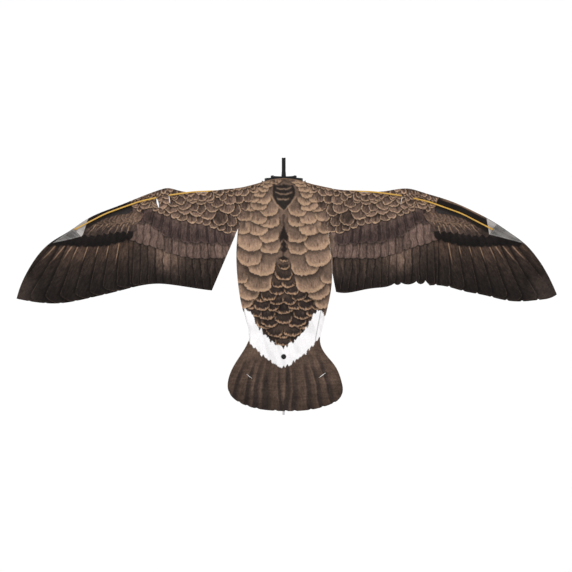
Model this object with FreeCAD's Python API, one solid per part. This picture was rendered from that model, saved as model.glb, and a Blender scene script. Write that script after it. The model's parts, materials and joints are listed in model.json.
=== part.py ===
"""Motion wing decoy: a wind-filled cloth goose on a nose tube, with wings that flap on glass-fibre spars.

Millimetres. The origin is the mouth of the nose tube. +Y points forward out of it and +Z is up.
"""

import FreeCAD
import Part
import math
import os

# Cloth
CLOTH = 1.0
SHEET_LOW = 9.0
SHEET_HIGH = SHEET_LOW + CLOTH
SHOULDER_X = 137.0
WRIST_X = 400.0
SHEET_GAP = 0.5

# Nose tube and the collar that holds the mouth open
TUBE_R = 5.5
TUBE_FLARE_R = 6.6
TUBE_BORE_R = 3.2
TUBE_BORE_LENGTH = 48.0
TUBE_END_Y = -89.0
TUBE_FIT = 0.05
TUBE_NOTCH = (2.4, 5.0)
TUBE_TAPER_Y = -38.0
TUBE_FLARE_LENGTH = 2.0
TUBE_FLARE_GAP = 0.4
COLLAR_FRONT_Y = -56.0
COLLAR_BACK_Y = -63.0
COLLAR_HALF_WIDTH = 54.5
COLLAR_HALF_HEIGHT = 37.0
COLLAR_BAND = 4.0
COLLAR_TOP = 8.2
EYE_R = 8.2
EYE_LENGTH = 3.5
BRIDGE_HALF_WIDTH = 36.5
BRIDGE_FRONT_Y = -50.5
BRIDGE_BOW = 2.0
BRIDGE_LOW = -6.5
BRIDGE_HIGH = 3.5
LUG_R = 5.0
RIVET_X = 31.0
RIVET_R = 1.6
RIVET_HEAD_R = 3.2
RIVET_HEAD = 1.2

# Hub where the two wing spars and the spine meet
HUB_FRONT_Y = -78.0
HUB_BACK_Y = -110.0
HUB_HALF_WIDTH = 17.0
HUB_LOW = -8.0
HUB_HIGH = 8.4
HUB_CORNER = 3.0
SPAR_ROOT_Y = -96.0
SPAR_ROOT_Z = 3.2
SOCKET_END_X = 3.0
SCREW_X = 11.0
SCREW_R = 1.5
SCREW_BORE = 10.0
SCREW_TIP_GAP = 0.1
SCREW_HEAD_R = 2.8
SCREW_HEAD = 2.0
SCREW_CROSS = (1.6, 0.4, 1.0)

# Wing spars, 4 mm rod
SPAR_R = 2.0
SPAR_UNDER_Z = 6.3
SPAR_OVER_Z = 13.2
SPAR_SHOULDER_GAP = 2.6
SPAR_WRIST_GAP = 1.5
SPAR_CAP_R = 2.6
SPAR_CAP_DEPTH = 9.0
SPAR_CAP_LENGTH = 10.5
SPAR_ROUTE = [
    (SOCKET_END_X, SPAR_ROOT_Y, SPAR_ROOT_Z),
    (60.0, -95.0, SPAR_ROOT_Z),
    (150.0, -93.0, SPAR_UNDER_Z),
    (197.0, -94.0, SPAR_UNDER_Z),
    (252.0, -96.5, SPAR_OVER_Z),
    (330.0, -107.0, SPAR_OVER_Z),
    (405.0, -123.5, SPAR_OVER_Z),
    (500.0, -157.5, SPAR_OVER_Z),
    (588.0, -203.0, SPAR_OVER_Z),
]

# Spine, 5 mm rod
SPINE_R = 2.5
SPINE_CAP_R = 3.4
SPINE_CAP_GRIP = 16.0
SPINE_CAP_LENGTH = 26.0
SPINE_CAP_WEB = 2.0
SPINE_ROUTE = [
    (0.0, HUB_BACK_Y + 10.0, 0.0),
    (0.0, -595.0, 0.0),
    (0.0, -660.0, 4.6),
    (0.0, -714.0, 4.6),
]

# Snap through the rump, and the clip that carries it on the spine
SNAP_Y = -560.0
SNAP_R = 7.2
SNAP_CAP = 2.6
SNAP_RIM = 1.0
SNAP_BEVEL = 2.2
SNAP_POST_R = 1.7
SNAP_POST_LOW = 7.2
SNAP_POST = 4.0
SOCKET_R = 6.4
SOCKET_HOLE_R = 2.0
SOCKET_HOLE_LOW = 7.0
CLIP_LOW = -5.0
CLIP_HIGH = 5.5
CLIP_HALF_WIDTH = 5.5

# Strap under the tail's edge
STRAP_WIDTH = 12.0
STRAP_HALF_LENGTH = 14.0
STRAP = 1.0
STRAP_FIT = 0.2
STRAP_AHEAD = 18.0

# Left and right wing outlines, x outwards from the middle
NECK_EDGE = [(0, -58.5), (18, -60), (38, -63), (58, -68.5), (79, -75)]
LEFT_LEADING = NECK_EDGE + [
    (98, -80), (120, -85), (152, -88), (217, -96), (267, -98), (305, -90), (327, -86), (346, -90),
    (406, -112), (468, -137), (549, -171), (606, -209), (651, -236), (687, -269), (717, -314), (742, -367),
    (751, -397),
]
LEFT_TRAILING = [
    (751, -397), (697, -407), (629, -410), (554, -397), (461, -375), (389, -358), (350, -355), (314, -358),
    (260, -366), (202, -374),
]
LEFT_ARMPIT = (128, -199)
RIGHT_LEADING = NECK_EDGE + [
    (101, -80), (124, -85), (147, -89), (216, -95), (281, -95), (319, -89), (352, -87.5), (388, -97),
    (460, -119), (536, -152), (600, -187), (641, -215), (676, -241), (709, -277), (747, -338), (768, -385),
]
RIGHT_TRAILING = [
    (768, -385), (757, -392), (714, -401), (663, -405), (620, -401), (562, -387), (506, -376), (467, -365),
    (411, -360),
]
RIGHT_FEATHER_ENDS = [
    ((398, -346), (387, -356), (373, -348)),
    ((373, -348), (353, -357), (330, -352)),
    ((330, -352), (320, -358.5), (311, -354)),
]
RIGHT_TERTIALS = [(311, -354), (298, -361), (259, -367), (220, -373), (173, -381), (147, -378)]
RIGHT_INNER = (134, -308)
RIGHT_ARMPIT = (126, -209)

# Torso and tail outline, true x
LEFT_SIDE = [(-128, -199), (-133, -288), (-128, -358), (-114, -432), (-100, -479), (-98, -513)]
TAIL_EDGE = [
    (-98, -513), (-112, -541), (-136, -578), (-157, -631), (-156, -655), (-138, -680), (-105, -698),
    (-42, -711),
    (30, -713), (84, -708), (129, -695), (153, -682), (166, -658), (163, -631), (146, -588), (110, -541),
    (102, -508),
]
RIGHT_SIDE = [(102, -508), (116, -451), (133, -373), (136, -316), (130, -252), (126, -209)]
SHOULDER_LINE_Y = -150.0
SHOULDER_LINE_HALF_WIDTH = 100.0
LEFT_SEAM_END_Y = -240.0
TAIL_SLITS = [((-123, -609), (-106, -623)), ((98, -620), (119, -604.5))]
SLIT = 1.2

# Loops of wing cloth that pass over the spar, between two slits
LOOP_X = {-1: (322.0, 357.0), 1: (331.0, 364.0)}
LOOP_Y = (-97.0, -134.0)
LOOP_CROWN_Y = -110.0
LOOP_CLEAR = 2.0
RELIEF = 0.5

# Tip reinforcement and spar pocket, x outwards
LEFT_PATCH = [
    (549, -171), (581, -193), (629, -225), (650, -241), (637, -238), (594, -229), (568, -221.5), (564, -216),
]
RIGHT_PATCH = [
    (570, -170), (600, -188), (638, -213.5), (676, -242), (643, -233.5), (622, -228), (578, -216.5),
]
PATCH = 0.5
POCKET_MOUTH_X = 584.0
POCKET_BACK = 30.0
POCKET_R = 3.3
POCKET_WALL = 0.8
POCKET_TOP_R = POCKET_R + POCKET_WALL

# Belly of three gores: station y, half width, depth below the sheet, squareness
BELLY_STATIONS = [
    (-66.0, 58.0, 78.0, 3.0),
    (-100.0, 80.0, 90.0, 2.6),
    (-150.0, 108.0, 96.0, 2.3),
    (-209.0, 124.0, 96.0, 2.2),
    (-310.0, 130.0, 90.0, 2.2),
    (-390.0, 124.0, 72.0, 2.2),
    (-455.0, 105.0, 44.0, 2.3),
    (-510.0, 94.0, 16.0, 2.6),
]
GORE_ANGLES = {"left": (180.0, 128.0), "centre": (128.0, 52.0), "right": (52.0, 0.0)}
MOUTH_ANGLES = (180.0, 0.0)
GORE_STEPS = 4
BINDING_WIDTH = 2.0
BINDING_SET_BACK = 0.2
BINDING_FIT = 0.1
BINDING = 1.2

# Share of a rod's straight run that each of its bends may take up
BEND_SHARE = 0.45

# Longer than anything here, for tools that cut right through
FAR = 1000.0


def vec(x, y, z=0.0):
    return FreeCAD.Vector(x, y, z)


def save(name, shape):
    shape.exportStep("parts/%s.step" % name)


def box(low, high):
    size = [b - a for a, b in zip(low, high)]
    return Part.makeBox(size[0], size[1], size[2], vec(*low))


def rod_along(axis, centre, radius, length):
    return Part.makeCylinder(radius, length, vec(*centre), vec(*axis))


def spline(points):
    curve = Part.BSplineCurve()
    curve.interpolate([vec(x, y) for x, y in points])
    return curve.toShape()


def line(start, end):
    return Part.makeLine(vec(*start), vec(*end))


def plate(edges, low, high):
    face = Part.Face(Part.Wire(edges))
    face.translate(vec(0, 0, low))
    return face.extrude(vec(0, 0, high - low))


def mirrored(shape, side):
    """The shape as drawn for side +1, and its mirror image in the YZ plane for side -1."""
    if side > 0:
        return shape
    return shape.mirror(vec(0, 0), vec(1, 0))


def rounded_path(points):
    """A wire of straight runs joined by tangent arcs, each as large as its two runs allow."""
    edges = []
    start = vec(*points[0])
    for before, corner, after in zip(points, points[1:], points[2:]):
        corner = vec(*corner)
        back = vec(*before) - corner
        ahead = vec(*after) - corner
        trim = BEND_SHARE * min(back.Length, ahead.Length)
        back.normalize()
        ahead.normalize()
        enter = corner + back * trim
        leave = corner + ahead * trim
        half_turn = (math.pi - back.getAngle(ahead)) / 2
        radius = trim / math.tan(half_turn)
        inward = back + ahead
        inward.normalize()
        middle = corner + inward * (radius / math.cos(half_turn) - radius)
        edges.append(Part.makeLine(start, enter))
        edges.append(Part.Arc(enter, middle, leave).toShape())
        start = leave
    edges.append(Part.makeLine(start, vec(*points[-1])))
    return Part.Wire(edges)


def round_bar(points, radius):
    """A round bar along a rounded path."""
    path = rounded_path(points)
    start = vec(*points[0])
    heading = vec(*points[1]) - start
    profile = Part.Wire(Part.makeCircle(radius, start, heading))
    return path.makePipeShell([profile], True, False)


def turned(profile):
    """A solid of revolution about the Y axis from (radius, y) corners."""
    corners = [vec(r, y) for r, y in profile]
    face = Part.Face(Part.makePolygon(corners + corners[:1]))
    return face.revolve(vec(0, 0), vec(0, 1), 360)


def wing_plate(side, low, high):
    """The whole wing from the neck to the tip, drawn outwards from the middle."""
    if side < 0:
        armpit = LEFT_ARMPIT
        edges = [spline(LEFT_LEADING), spline(LEFT_TRAILING), line(LEFT_TRAILING[-1], armpit)]
    else:
        armpit = RIGHT_ARMPIT
        edges = [spline(RIGHT_LEADING), spline(RIGHT_TRAILING)]
        edges.append(line(RIGHT_TRAILING[-1], RIGHT_FEATHER_ENDS[0][0]))
        for start, middle, end in RIGHT_FEATHER_ENDS:
            edges.append(Part.Arc(vec(*start), vec(*middle), vec(*end)).toShape())
        edges += [spline(RIGHT_TERTIALS), line(RIGHT_TERTIALS[-1], RIGHT_INNER), line(RIGHT_INNER, armpit)]
    centre = (0, armpit[1])
    edges += [line(armpit, centre), line(centre, NECK_EDGE[0])]
    return mirrored(plate(edges, low, high), side)


def between_x(shape, side, near, far):
    """The part of a shape whose distance from the middle lies between near and far."""
    slab = box((near, -FAR, -FAR), (far, FAR, FAR))
    return shape.common(mirrored(slab, side))


def slit_tool(start, end):
    """A narrow cutter through the sheet from start to end."""
    along = vec(*end) - vec(*start)
    across = vec(-along.y, along.x)
    across.normalize()
    across = across * (SLIT / 2)
    corners = [vec(*start) + across, vec(*end) + across, vec(*end) - across, vec(*start) - across]
    face = Part.Face(Part.makePolygon(corners + corners[:1]))
    face.translate(vec(0, 0, SHEET_LOW - CLOTH))
    return face.extrude(vec(0, 0, 3 * CLOTH))


def make_back_sheet():
    torso_edges = [spline(LEFT_SIDE), spline(TAIL_EDGE), spline(RIGHT_SIDE)]
    half = SHOULDER_LINE_HALF_WIDTH
    shoulders = [RIGHT_SIDE[-1], (half, SHOULDER_LINE_Y), (-half, SHOULDER_LINE_Y), LEFT_SIDE[0]]
    torso_edges += [line(a, b) for a, b in zip(shoulders, shoulders[1:])]
    sheet = plate(torso_edges, SHEET_LOW, SHEET_HIGH)
    for side, armpit_y in ((-1, LEFT_SEAM_END_Y), (1, RIGHT_ARMPIT[1])):
        wing = wing_plate(side, SHEET_LOW, SHEET_HIGH)
        near = mirrored(box((0, armpit_y, 0), (SHOULDER_X - SHEET_GAP, 0, FAR)), side)
        sheet = sheet.fuse(wing.common(near))
    for start, end in TAIL_SLITS:
        sheet = sheet.cut(slit_tool(start, end))
    hole = rod_along((0, 0, 1), (0, SNAP_Y, 0), SOCKET_HOLE_R, FAR)
    return sheet.cut(hole).removeSplitter()


def loop_arch(near, far):
    """The band of wing cloth that rises over the spar, as a curved strip from front to back."""
    rise = SPAR_OVER_Z + SPAR_R + LOOP_CLEAR

    def arc(lift):
        front, back = [vec(near, y, SHEET_LOW + lift) for y in LOOP_Y]
        curve = Part.BSplineCurve()
        curve.interpolate([front, vec(near, LOOP_CROWN_Y, rise + lift), back])
        return front, curve.toShape(), back

    low_front, low, low_back = arc(0)
    high_front, high, high_back = arc(CLOTH)
    edges = [low, Part.makeLine(low_back, high_back), high, Part.makeLine(high_front, low_front)]
    return Part.Face(Part.Wire(edges)).extrude(vec(far - near, 0, 0))


def make_wing_sheet(side):
    sheet = wing_plate(side, SHEET_LOW, SHEET_HIGH)
    sheet = between_x(sheet, side, SHOULDER_X + SHEET_GAP, WRIST_X - SHEET_GAP)
    near, far = LOOP_X[side]
    window = box((near - SLIT, LOOP_Y[1], 0), (far + SLIT, LOOP_Y[0], FAR))
    sheet = sheet.cut(mirrored(window, side))
    sheet = sheet.cut(mirrored(round_bar(SPAR_ROUTE[1:], SPAR_R + RELIEF), side))
    return sheet.fuse(mirrored(loop_arch(near, far), side)).removeSplitter()


def make_tip_sheet(side):
    sheet = wing_plate(side, SHEET_LOW, SHEET_HIGH)
    return between_x(sheet, side, WRIST_X + SHEET_GAP, FAR)


def make_patch(side):
    outline = RIGHT_PATCH if side > 0 else LEFT_PATCH
    edges = [line(a, b) for a, b in zip(outline, outline[1:] + outline[:1])]
    patch = mirrored(plate(edges, SHEET_HIGH, SHEET_HIGH + PATCH), side)
    return patch.common(wing_plate(side, SHEET_HIGH, SHEET_HIGH + PATCH))


def spar_end(extra):
    """A point on the spar's last straight run, extra past its end, and the run's direction."""
    end = vec(*SPAR_ROUTE[-1])
    heading = end - vec(*SPAR_ROUTE[-2])
    heading.normalize()
    return end + heading * extra, heading


def make_pocket(side):
    """The upper layer of the tip reinforcement, with the blind sleeve that the spar's end sits in."""
    tip, heading = spar_end(POCKET_BACK / 3)
    start = tip - heading * POCKET_BACK
    outer = Part.makeCylinder(POCKET_TOP_R, POCKET_BACK + POCKET_WALL, start, heading)
    inner = Part.makeCylinder(POCKET_R, POCKET_BACK, start, heading)
    sleeve = outer.common(box((0, -FAR, SHEET_HIGH + PATCH), (FAR, 0, FAR)))
    layer = between_x(make_patch(side), side, POCKET_MOUTH_X, FAR)
    layer.translate(vec(0, 0, PATCH))
    pocket = layer.fuse(mirrored(sleeve, side)).cut(mirrored(inner, side))
    return pocket.removeSplitter()


def make_spar(side, near, far):
    return between_x(mirrored(round_bar(SPAR_ROUTE, SPAR_R), side), side, near, far)


def make_spar_cap(side):
    start, heading = spar_end(-SPAR_CAP_DEPTH)
    body = Part.makeCylinder(SPAR_CAP_R, SPAR_CAP_LENGTH, start, heading)
    hollow = Part.makeCylinder(SPAR_R, SPAR_CAP_DEPTH, start, heading)
    return mirrored(body.cut(hollow), side)


def make_nose_tube():
    flare_y = BRIDGE_FRONT_Y - BRIDGE_BOW + TUBE_FLARE_GAP
    tube = turned([
        (0, -TUBE_BORE_LENGTH),
        (TUBE_BORE_R, -TUBE_BORE_LENGTH),
        (TUBE_BORE_R, 0),
        (TUBE_R, 0),
        (TUBE_R, TUBE_TAPER_Y),
        (TUBE_FLARE_R, flare_y + TUBE_FLARE_LENGTH),
        (TUBE_FLARE_R, flare_y),
        (TUBE_R, flare_y),
        (TUBE_R, TUBE_END_Y),
        (0, TUBE_END_Y),
    ])
    width, depth = TUBE_NOTCH
    return tube.cut(box((-width / 2, -depth, 0), (width / 2, 1, FAR)))


def rivet_points():
    """Middle of the collar's band where each rivet goes through it."""
    half_width = COLLAR_HALF_WIDTH - COLLAR_BAND / 2
    half_height = COLLAR_HALF_HEIGHT - COLLAR_BAND / 2
    centre_z = COLLAR_TOP - COLLAR_HALF_HEIGHT
    z = centre_z + half_height * math.sqrt(1 - (RIVET_X / half_width) ** 2)
    return [(-RIVET_X, z), (RIVET_X, z)]


def ellipse_plate(half_width, half_height, depth):
    ellipse = Part.Ellipse(vec(0, 0), half_width, half_height)
    face = Part.Face(Part.Wire(ellipse.toShape()))
    return face.extrude(vec(0, 0, depth))


def make_collar():
    depth = COLLAR_FRONT_Y - COLLAR_BACK_Y
    outer = ellipse_plate(COLLAR_HALF_WIDTH, COLLAR_HALF_HEIGHT, depth)
    inner = ellipse_plate(COLLAR_HALF_WIDTH - COLLAR_BAND, COLLAR_HALF_HEIGHT - COLLAR_BAND, depth)
    hoop = outer.cut(inner)
    hoop.rotate(vec(0, 0), vec(1, 0), 90)
    hoop.translate(vec(0, COLLAR_FRONT_Y, COLLAR_TOP - COLLAR_HALF_HEIGHT))
    hoop = hoop.fuse(rod_along((0, -1, 0), (0, COLLAR_FRONT_Y, 0), EYE_R, depth))
    for x, z in rivet_points():
        hoop = hoop.fuse(rod_along((0, -1, 0), (x, COLLAR_FRONT_Y, z), LUG_R, depth))
    hoop = hoop.cut(rod_along((0, -1, 0), (0, 0, 0), TUBE_R + TUBE_FIT, FAR))
    for x, z in rivet_points():
        hoop = hoop.cut(rod_along((0, -1, 0), (x, 0, z), RIVET_R + TUBE_FIT, FAR))
    return hoop.removeSplitter()


def make_bridge():
    end = BRIDGE_HALF_WIDTH
    front_left, front_right = (-end, BRIDGE_FRONT_Y), (end, BRIDGE_FRONT_Y)
    middle = vec(0, BRIDGE_FRONT_Y - BRIDGE_BOW)
    bow = Part.Arc(vec(*front_left), middle, vec(*front_right)).toShape()
    back_left, back_right = (-end, COLLAR_FRONT_Y), (end, COLLAR_FRONT_Y)
    edges = [bow, line(front_right, back_right), line(back_right, back_left), line(back_left, front_left)]
    bar = plate(edges, BRIDGE_LOW, BRIDGE_HIGH)
    bar = bar.fuse(rod_along((0, -1, 0), (0, BRIDGE_FRONT_Y - BRIDGE_BOW, 0), EYE_R, EYE_LENGTH))
    bar = bar.cut(rod_along((0, -1, 0), (0, 0, 0), TUBE_R + TUBE_FIT, FAR))
    for x, z in rivet_points():
        bar = bar.cut(rod_along((0, -1, 0), (x, 0, z), RIVET_R + TUBE_FIT, FAR))
    return bar.removeSplitter()


def make_rivets():
    rivets = []
    front = BRIDGE_FRONT_Y
    length = front - COLLAR_BACK_Y
    for x, z in rivet_points():
        shank = rod_along((0, -1, 0), (x, front, z), RIVET_R, length)
        head = rod_along((0, 1, 0), (x, front, z), RIVET_HEAD_R, RIVET_HEAD)
        tail = rod_along((0, -1, 0), (x, COLLAR_BACK_Y, z), RIVET_HEAD_R, RIVET_HEAD)
        rivets.append(shank.fuse([head, tail]).removeSplitter())
    return Part.makeCompound(rivets)


def make_hub():
    low = (-HUB_HALF_WIDTH, HUB_BACK_Y, HUB_LOW)
    high = (HUB_HALF_WIDTH, HUB_FRONT_Y, HUB_HIGH)
    hub = box(low, high)
    upright = [e for e in hub.Edges if abs(e.Vertexes[0].Z - e.Vertexes[1].Z) > 1]
    hub = hub.makeFillet(HUB_CORNER, upright)
    hub = hub.cut(rod_along((0, -1, 0), (0, 0, 0), TUBE_R + TUBE_FIT, -TUBE_END_Y))
    spine_y = SPINE_ROUTE[0][1]
    hub = hub.cut(rod_along((0, -1, 0), (0, spine_y, 0), SPINE_R + TUBE_FIT, FAR))
    for side in (-1, 1):
        start = (side * SOCKET_END_X, SPAR_ROOT_Y, SPAR_ROOT_Z)
        heading = (side * (SPAR_ROUTE[1][0] - SPAR_ROUTE[0][0]), SPAR_ROUTE[1][1] - SPAR_ROUTE[0][1], 0)
        hub = hub.cut(rod_along(heading, start, SPAR_R + TUBE_FIT, FAR))
        screw = (side * SCREW_X, SPAR_ROOT_Y, HUB_LOW)
        hub = hub.cut(rod_along((0, 0, 1), screw, SCREW_R + TUBE_FIT, SCREW_BORE))
    return hub.removeSplitter()


def make_hub_screws():
    screws = []
    y = SPAR_ROOT_Y
    length = SPAR_ROOT_Z - SPAR_R - HUB_LOW - SCREW_TIP_GAP
    reach, half, depth = SCREW_CROSS
    low = HUB_LOW - SCREW_HEAD
    for x in (-SCREW_X, SCREW_X):
        shank = rod_along((0, 0, 1), (x, y, HUB_LOW), SCREW_R, length)
        head = rod_along((0, 0, -1), (x, y, HUB_LOW), SCREW_HEAD_R, SCREW_HEAD)
        cross = box((x - reach, y - half, low), (x + reach, y + half, low + depth))
        across = box((x - half, y - reach, low), (x + half, y + reach, low + depth))
        screws.append(shank.fuse(head).cut(cross).cut(across).removeSplitter())
    return Part.makeCompound(screws)


def belly_point(station, degrees, inset):
    """A point of the belly's cross-section, from the right seam (0) under the bird to the left one (180)."""
    y, half_width, depth, squareness = station
    angle = math.radians(degrees)
    across = math.copysign(abs(math.cos(angle)) ** (2 / squareness), math.cos(angle))
    down = abs(math.sin(angle)) ** (2 / squareness)
    return vec((half_width - inset) * across, y, SHEET_LOW - (depth - inset) * down)


def belly_section(station, first, last, inset, outset=0.0):
    """A closed strip outline across one station, between two angles."""
    angles = [first + (last - first) * i / GORE_STEPS for i in range(GORE_STEPS + 1)]

    def run(distance):
        curve = Part.BSplineCurve()
        curve.interpolate([belly_point(station, a, distance) for a in angles])
        return curve.toShape()

    outer = run(-outset)
    inner = run(inset)
    ends = [Part.makeLine(outer.valueAt(p), inner.valueAt(q)) for p, q in (
        (outer.FirstParameter, inner.FirstParameter), (outer.LastParameter, inner.LastParameter))]
    return Part.Wire([outer, ends[1], inner, ends[0]])


def make_gore(name):
    first, last = GORE_ANGLES[name]
    sections = [belly_section(s, first, last, CLOTH) for s in BELLY_STATIONS]
    gore = Part.makeLoft(sections, True, True)
    if name == "centre":
        return gore
    side = 1 if name == "right" else -1
    doorway = box((0, SPAR_ROOT_Y - 2 * SPAR_R, 0), (FAR, SPAR_ROOT_Y + 4 * SPAR_R, SHEET_HIGH))
    return gore.cut(mirrored(doorway, side))


def make_binding():
    """Tape round the mouth, just inside the front edge of the gores' outer face."""
    front = BELLY_STATIONS[0]
    station = (front[0] + BINDING_WIDTH,) + front[1:]
    section = belly_section(station, *MOUTH_ANGLES, -BINDING_FIT, BINDING_FIT + BINDING)
    return Part.Face(section).extrude(vec(0, BINDING_SET_BACK - BINDING_WIDTH, 0))


def make_spine_end_cap():
    y = SPINE_ROUTE[-1][1]
    z = SPINE_ROUTE[-1][2]
    start = (0, y + SPINE_CAP_GRIP, z)
    body = rod_along((0, -1, 0), start, SPINE_CAP_R, SPINE_CAP_LENGTH)
    bore = rod_along((0, -1, 0), start, SPINE_R, SPINE_CAP_GRIP)
    hollow = rod_along((0, -1, 0), (0, y - SPINE_CAP_WEB, z), SPINE_R, SPINE_CAP_LENGTH)
    return body.cut(bore).cut(hollow)


def make_spine_clip():
    """Block gripping the spine under the rump, with a flat seat for the snap's socket."""
    block = rod_along((0, 0, 1), (0, SNAP_Y, CLIP_LOW), SNAP_R, CLIP_HIGH - CLIP_LOW)
    sides = box((-CLIP_HALF_WIDTH, SNAP_Y - SNAP_R, CLIP_LOW), (CLIP_HALF_WIDTH, SNAP_Y + SNAP_R, CLIP_HIGH))
    bore = rod_along((0, -1, 0), (0, SNAP_Y + SNAP_R, 0), SPINE_R, 2 * SNAP_R)
    return block.common(sides).cut(bore)


def make_snap_socket():
    body = rod_along((0, 0, 1), (0, SNAP_Y, CLIP_HIGH), SOCKET_R, SHEET_LOW - CLIP_HIGH)
    hole = rod_along((0, 0, 1), (0, SNAP_Y, SOCKET_HOLE_LOW), SOCKET_HOLE_R, SHEET_HIGH - SOCKET_HOLE_LOW)
    return body.cut(hole)


def make_snap_cap():
    rim = rod_along((0, 0, 1), (0, SNAP_Y, SHEET_HIGH), SNAP_R, SNAP_RIM)
    top = vec(0, SNAP_Y, SHEET_HIGH + SNAP_RIM)
    crown = Part.makeCone(SNAP_R, SNAP_R - SNAP_BEVEL, SNAP_CAP - SNAP_RIM, top)
    post = rod_along((0, 0, 1), (0, SNAP_Y, SNAP_POST_LOW), SNAP_POST_R, SNAP_POST)
    return rim.fuse([crown, post]).removeSplitter()


def make_tail_loop():
    """Strap under the tail's edge that holds the spine's end up against the sheet."""
    y = SPINE_ROUTE[-1][1] + STRAP_AHEAD
    z = SPINE_ROUTE[-1][2]
    half = STRAP_HALF_LENGTH
    ring = rod_along((0, 1, 0), (0, y, z), SPINE_CAP_R + STRAP, STRAP_WIDTH)
    wings = box((-half, y, SHEET_LOW - STRAP), (half, y + STRAP_WIDTH, SHEET_LOW))
    loop = ring.fuse(wings).common(box((-half, y, -FAR), (half, y + STRAP_WIDTH, SHEET_LOW)))
    return loop.cut(rod_along((0, 1, 0), (0, y, z), SPINE_R + STRAP_FIT, STRAP_WIDTH)).removeSplitter()


def main():
    os.makedirs("parts", exist_ok=True)
    save("nose_tube", make_nose_tube())
    save("neck_collar", make_collar())
    save("collar_bridge", make_bridge())
    save("collar_rivets", make_rivets())
    save("spar_hub", make_hub())
    save("hub_screws", make_hub_screws())
    save("back_sheet", make_back_sheet())
    for name in GORE_ANGLES:
        save("belly_gore_" + name, make_gore(name))
    save("mouth_binding", make_binding())
    save("spine_rod", round_bar(SPINE_ROUTE, SPINE_R))
    save("spine_end_cap", make_spine_end_cap())
    save("spine_clip", make_spine_clip())
    save("rump_snap_socket", make_snap_socket())
    save("rump_snap_cap", make_snap_cap())
    save("tail_loop", make_tail_loop())
    for word, side in (("left", -1), ("right", 1)):
        save(word + "_spar_root", make_spar(side, 0, SHOULDER_X - SPAR_SHOULDER_GAP))
        save(word + "_spar_mid", make_spar(side, SHOULDER_X + SPAR_SHOULDER_GAP, WRIST_X - SPAR_WRIST_GAP))
        save(word + "_spar_tip", make_spar(side, WRIST_X + SPAR_WRIST_GAP, FAR))
        save(word + "_wing_sheet", make_wing_sheet(side))
        save(word + "_tip_sheet", make_tip_sheet(side))
        save(word + "_tip_patch", make_patch(side))
        save(word + "_tip_pocket", make_pocket(side))
        save(word + "_spar_cap", make_spar_cap(side))


main()
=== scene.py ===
"""Motion wing decoy: printed cloth, wind-filled belly, glass-fibre spars and tip pockets on the frame."""

import bpy
import json
import math
import numpy as np
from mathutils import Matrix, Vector
from mathutils.geometry import delaunay_2d_cdt


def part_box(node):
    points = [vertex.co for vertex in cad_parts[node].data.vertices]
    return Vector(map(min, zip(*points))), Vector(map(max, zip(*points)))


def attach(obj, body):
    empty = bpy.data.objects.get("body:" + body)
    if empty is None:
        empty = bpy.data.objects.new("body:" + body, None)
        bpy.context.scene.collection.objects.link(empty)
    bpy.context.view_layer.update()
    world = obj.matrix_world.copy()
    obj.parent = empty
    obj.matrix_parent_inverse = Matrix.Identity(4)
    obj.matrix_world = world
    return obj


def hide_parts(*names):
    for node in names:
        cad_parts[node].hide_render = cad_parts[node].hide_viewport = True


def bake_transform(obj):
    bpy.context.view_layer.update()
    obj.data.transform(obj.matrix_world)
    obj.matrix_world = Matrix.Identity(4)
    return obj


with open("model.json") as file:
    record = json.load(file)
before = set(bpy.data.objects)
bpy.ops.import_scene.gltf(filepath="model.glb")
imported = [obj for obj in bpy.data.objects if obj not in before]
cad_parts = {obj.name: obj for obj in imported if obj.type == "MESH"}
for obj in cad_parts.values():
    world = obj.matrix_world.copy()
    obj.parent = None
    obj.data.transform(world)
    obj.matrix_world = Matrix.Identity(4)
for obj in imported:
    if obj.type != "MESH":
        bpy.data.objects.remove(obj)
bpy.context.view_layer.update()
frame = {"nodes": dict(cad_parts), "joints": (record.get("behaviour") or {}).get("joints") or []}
MM = 0.001

# Places worked out from the frame, in millimetres
JOINTS = {j["name"]: j for j in frame["joints"]}
SHOULDER_X = JOINTS["right_wing_flap"]["pos_m"][0] / MM
WRIST_X = JOINTS["right_tip_flex"]["pos_m"][0] / MM
SHEET_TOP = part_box("back_sheet")[1][2] / MM
SHEET_Z = SHEET_TOP - 0.5
SIDES = (("left", -1), ("right", 1))

# Thickness of the printed cloth, and how far apart the points of each kind of panel lie
CLOTH = 0.35
BACK_NET = 2.1
WING_NET = 1.7
PATCH_NET = 1.4

# Colours of the print, as seen (sRGB)
TAN_RIM = (170, 140, 115)
TAN_TIP = (148, 121, 101)
TAN_ROOT = (106, 87, 75)
TAN_SHAFT = (66, 52, 45)
EDGE_TAN = (142, 114, 92)
COVERT = (112, 91, 79)
COVERT_DARK = (80, 65, 57)
COVERT_RIM = (178, 147, 121)
SCALE_DARK = (36, 30, 28)
SCALE_BROWN = (74, 60, 52)
SCALE_RIM = (164, 131, 105)
SHIELD_DARK = (40, 35, 32)
PURPLE_BROWN = (93, 76, 69)
NEAR_BLACK = (22, 19, 18)
STRIP_BROWN = (90, 73, 63)
STRIP_ROOT = (76, 61, 53)
STRIP_RIM = (118, 95, 79)
SECONDARY_BROWN = (98, 80, 70)
SECONDARY_RIM = (70, 58, 51)
FLIGHT_BROWN = (82, 64, 54)
FLIGHT_DARK = (30, 25, 23)
FLIGHT_SHAFT = (164, 132, 107)
FLIGHT_RIM = (72, 58, 50)
TIP_GREY = (72, 61, 55)
TAIL_BROWN = (78, 63, 54)
TAIL_DARK = (46, 38, 35)
RUMP_WHITE = (236, 234, 235)
BELLY_ROOT = (128, 112, 98)
BELLY_TIP = (152, 135, 119)
BELLY_RIM = (182, 167, 150)


# ---------------------------------------------------------------- noise and shapes, all in millimetres

def hashed(i, j, seed):
    """Repeatable numbers from 0 to 1 for whole numbers i and j."""
    h = np.sin(i * 127.1 + j * 311.7 + seed * 74.7) * 43758.5453
    return h - np.floor(h)


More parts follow.
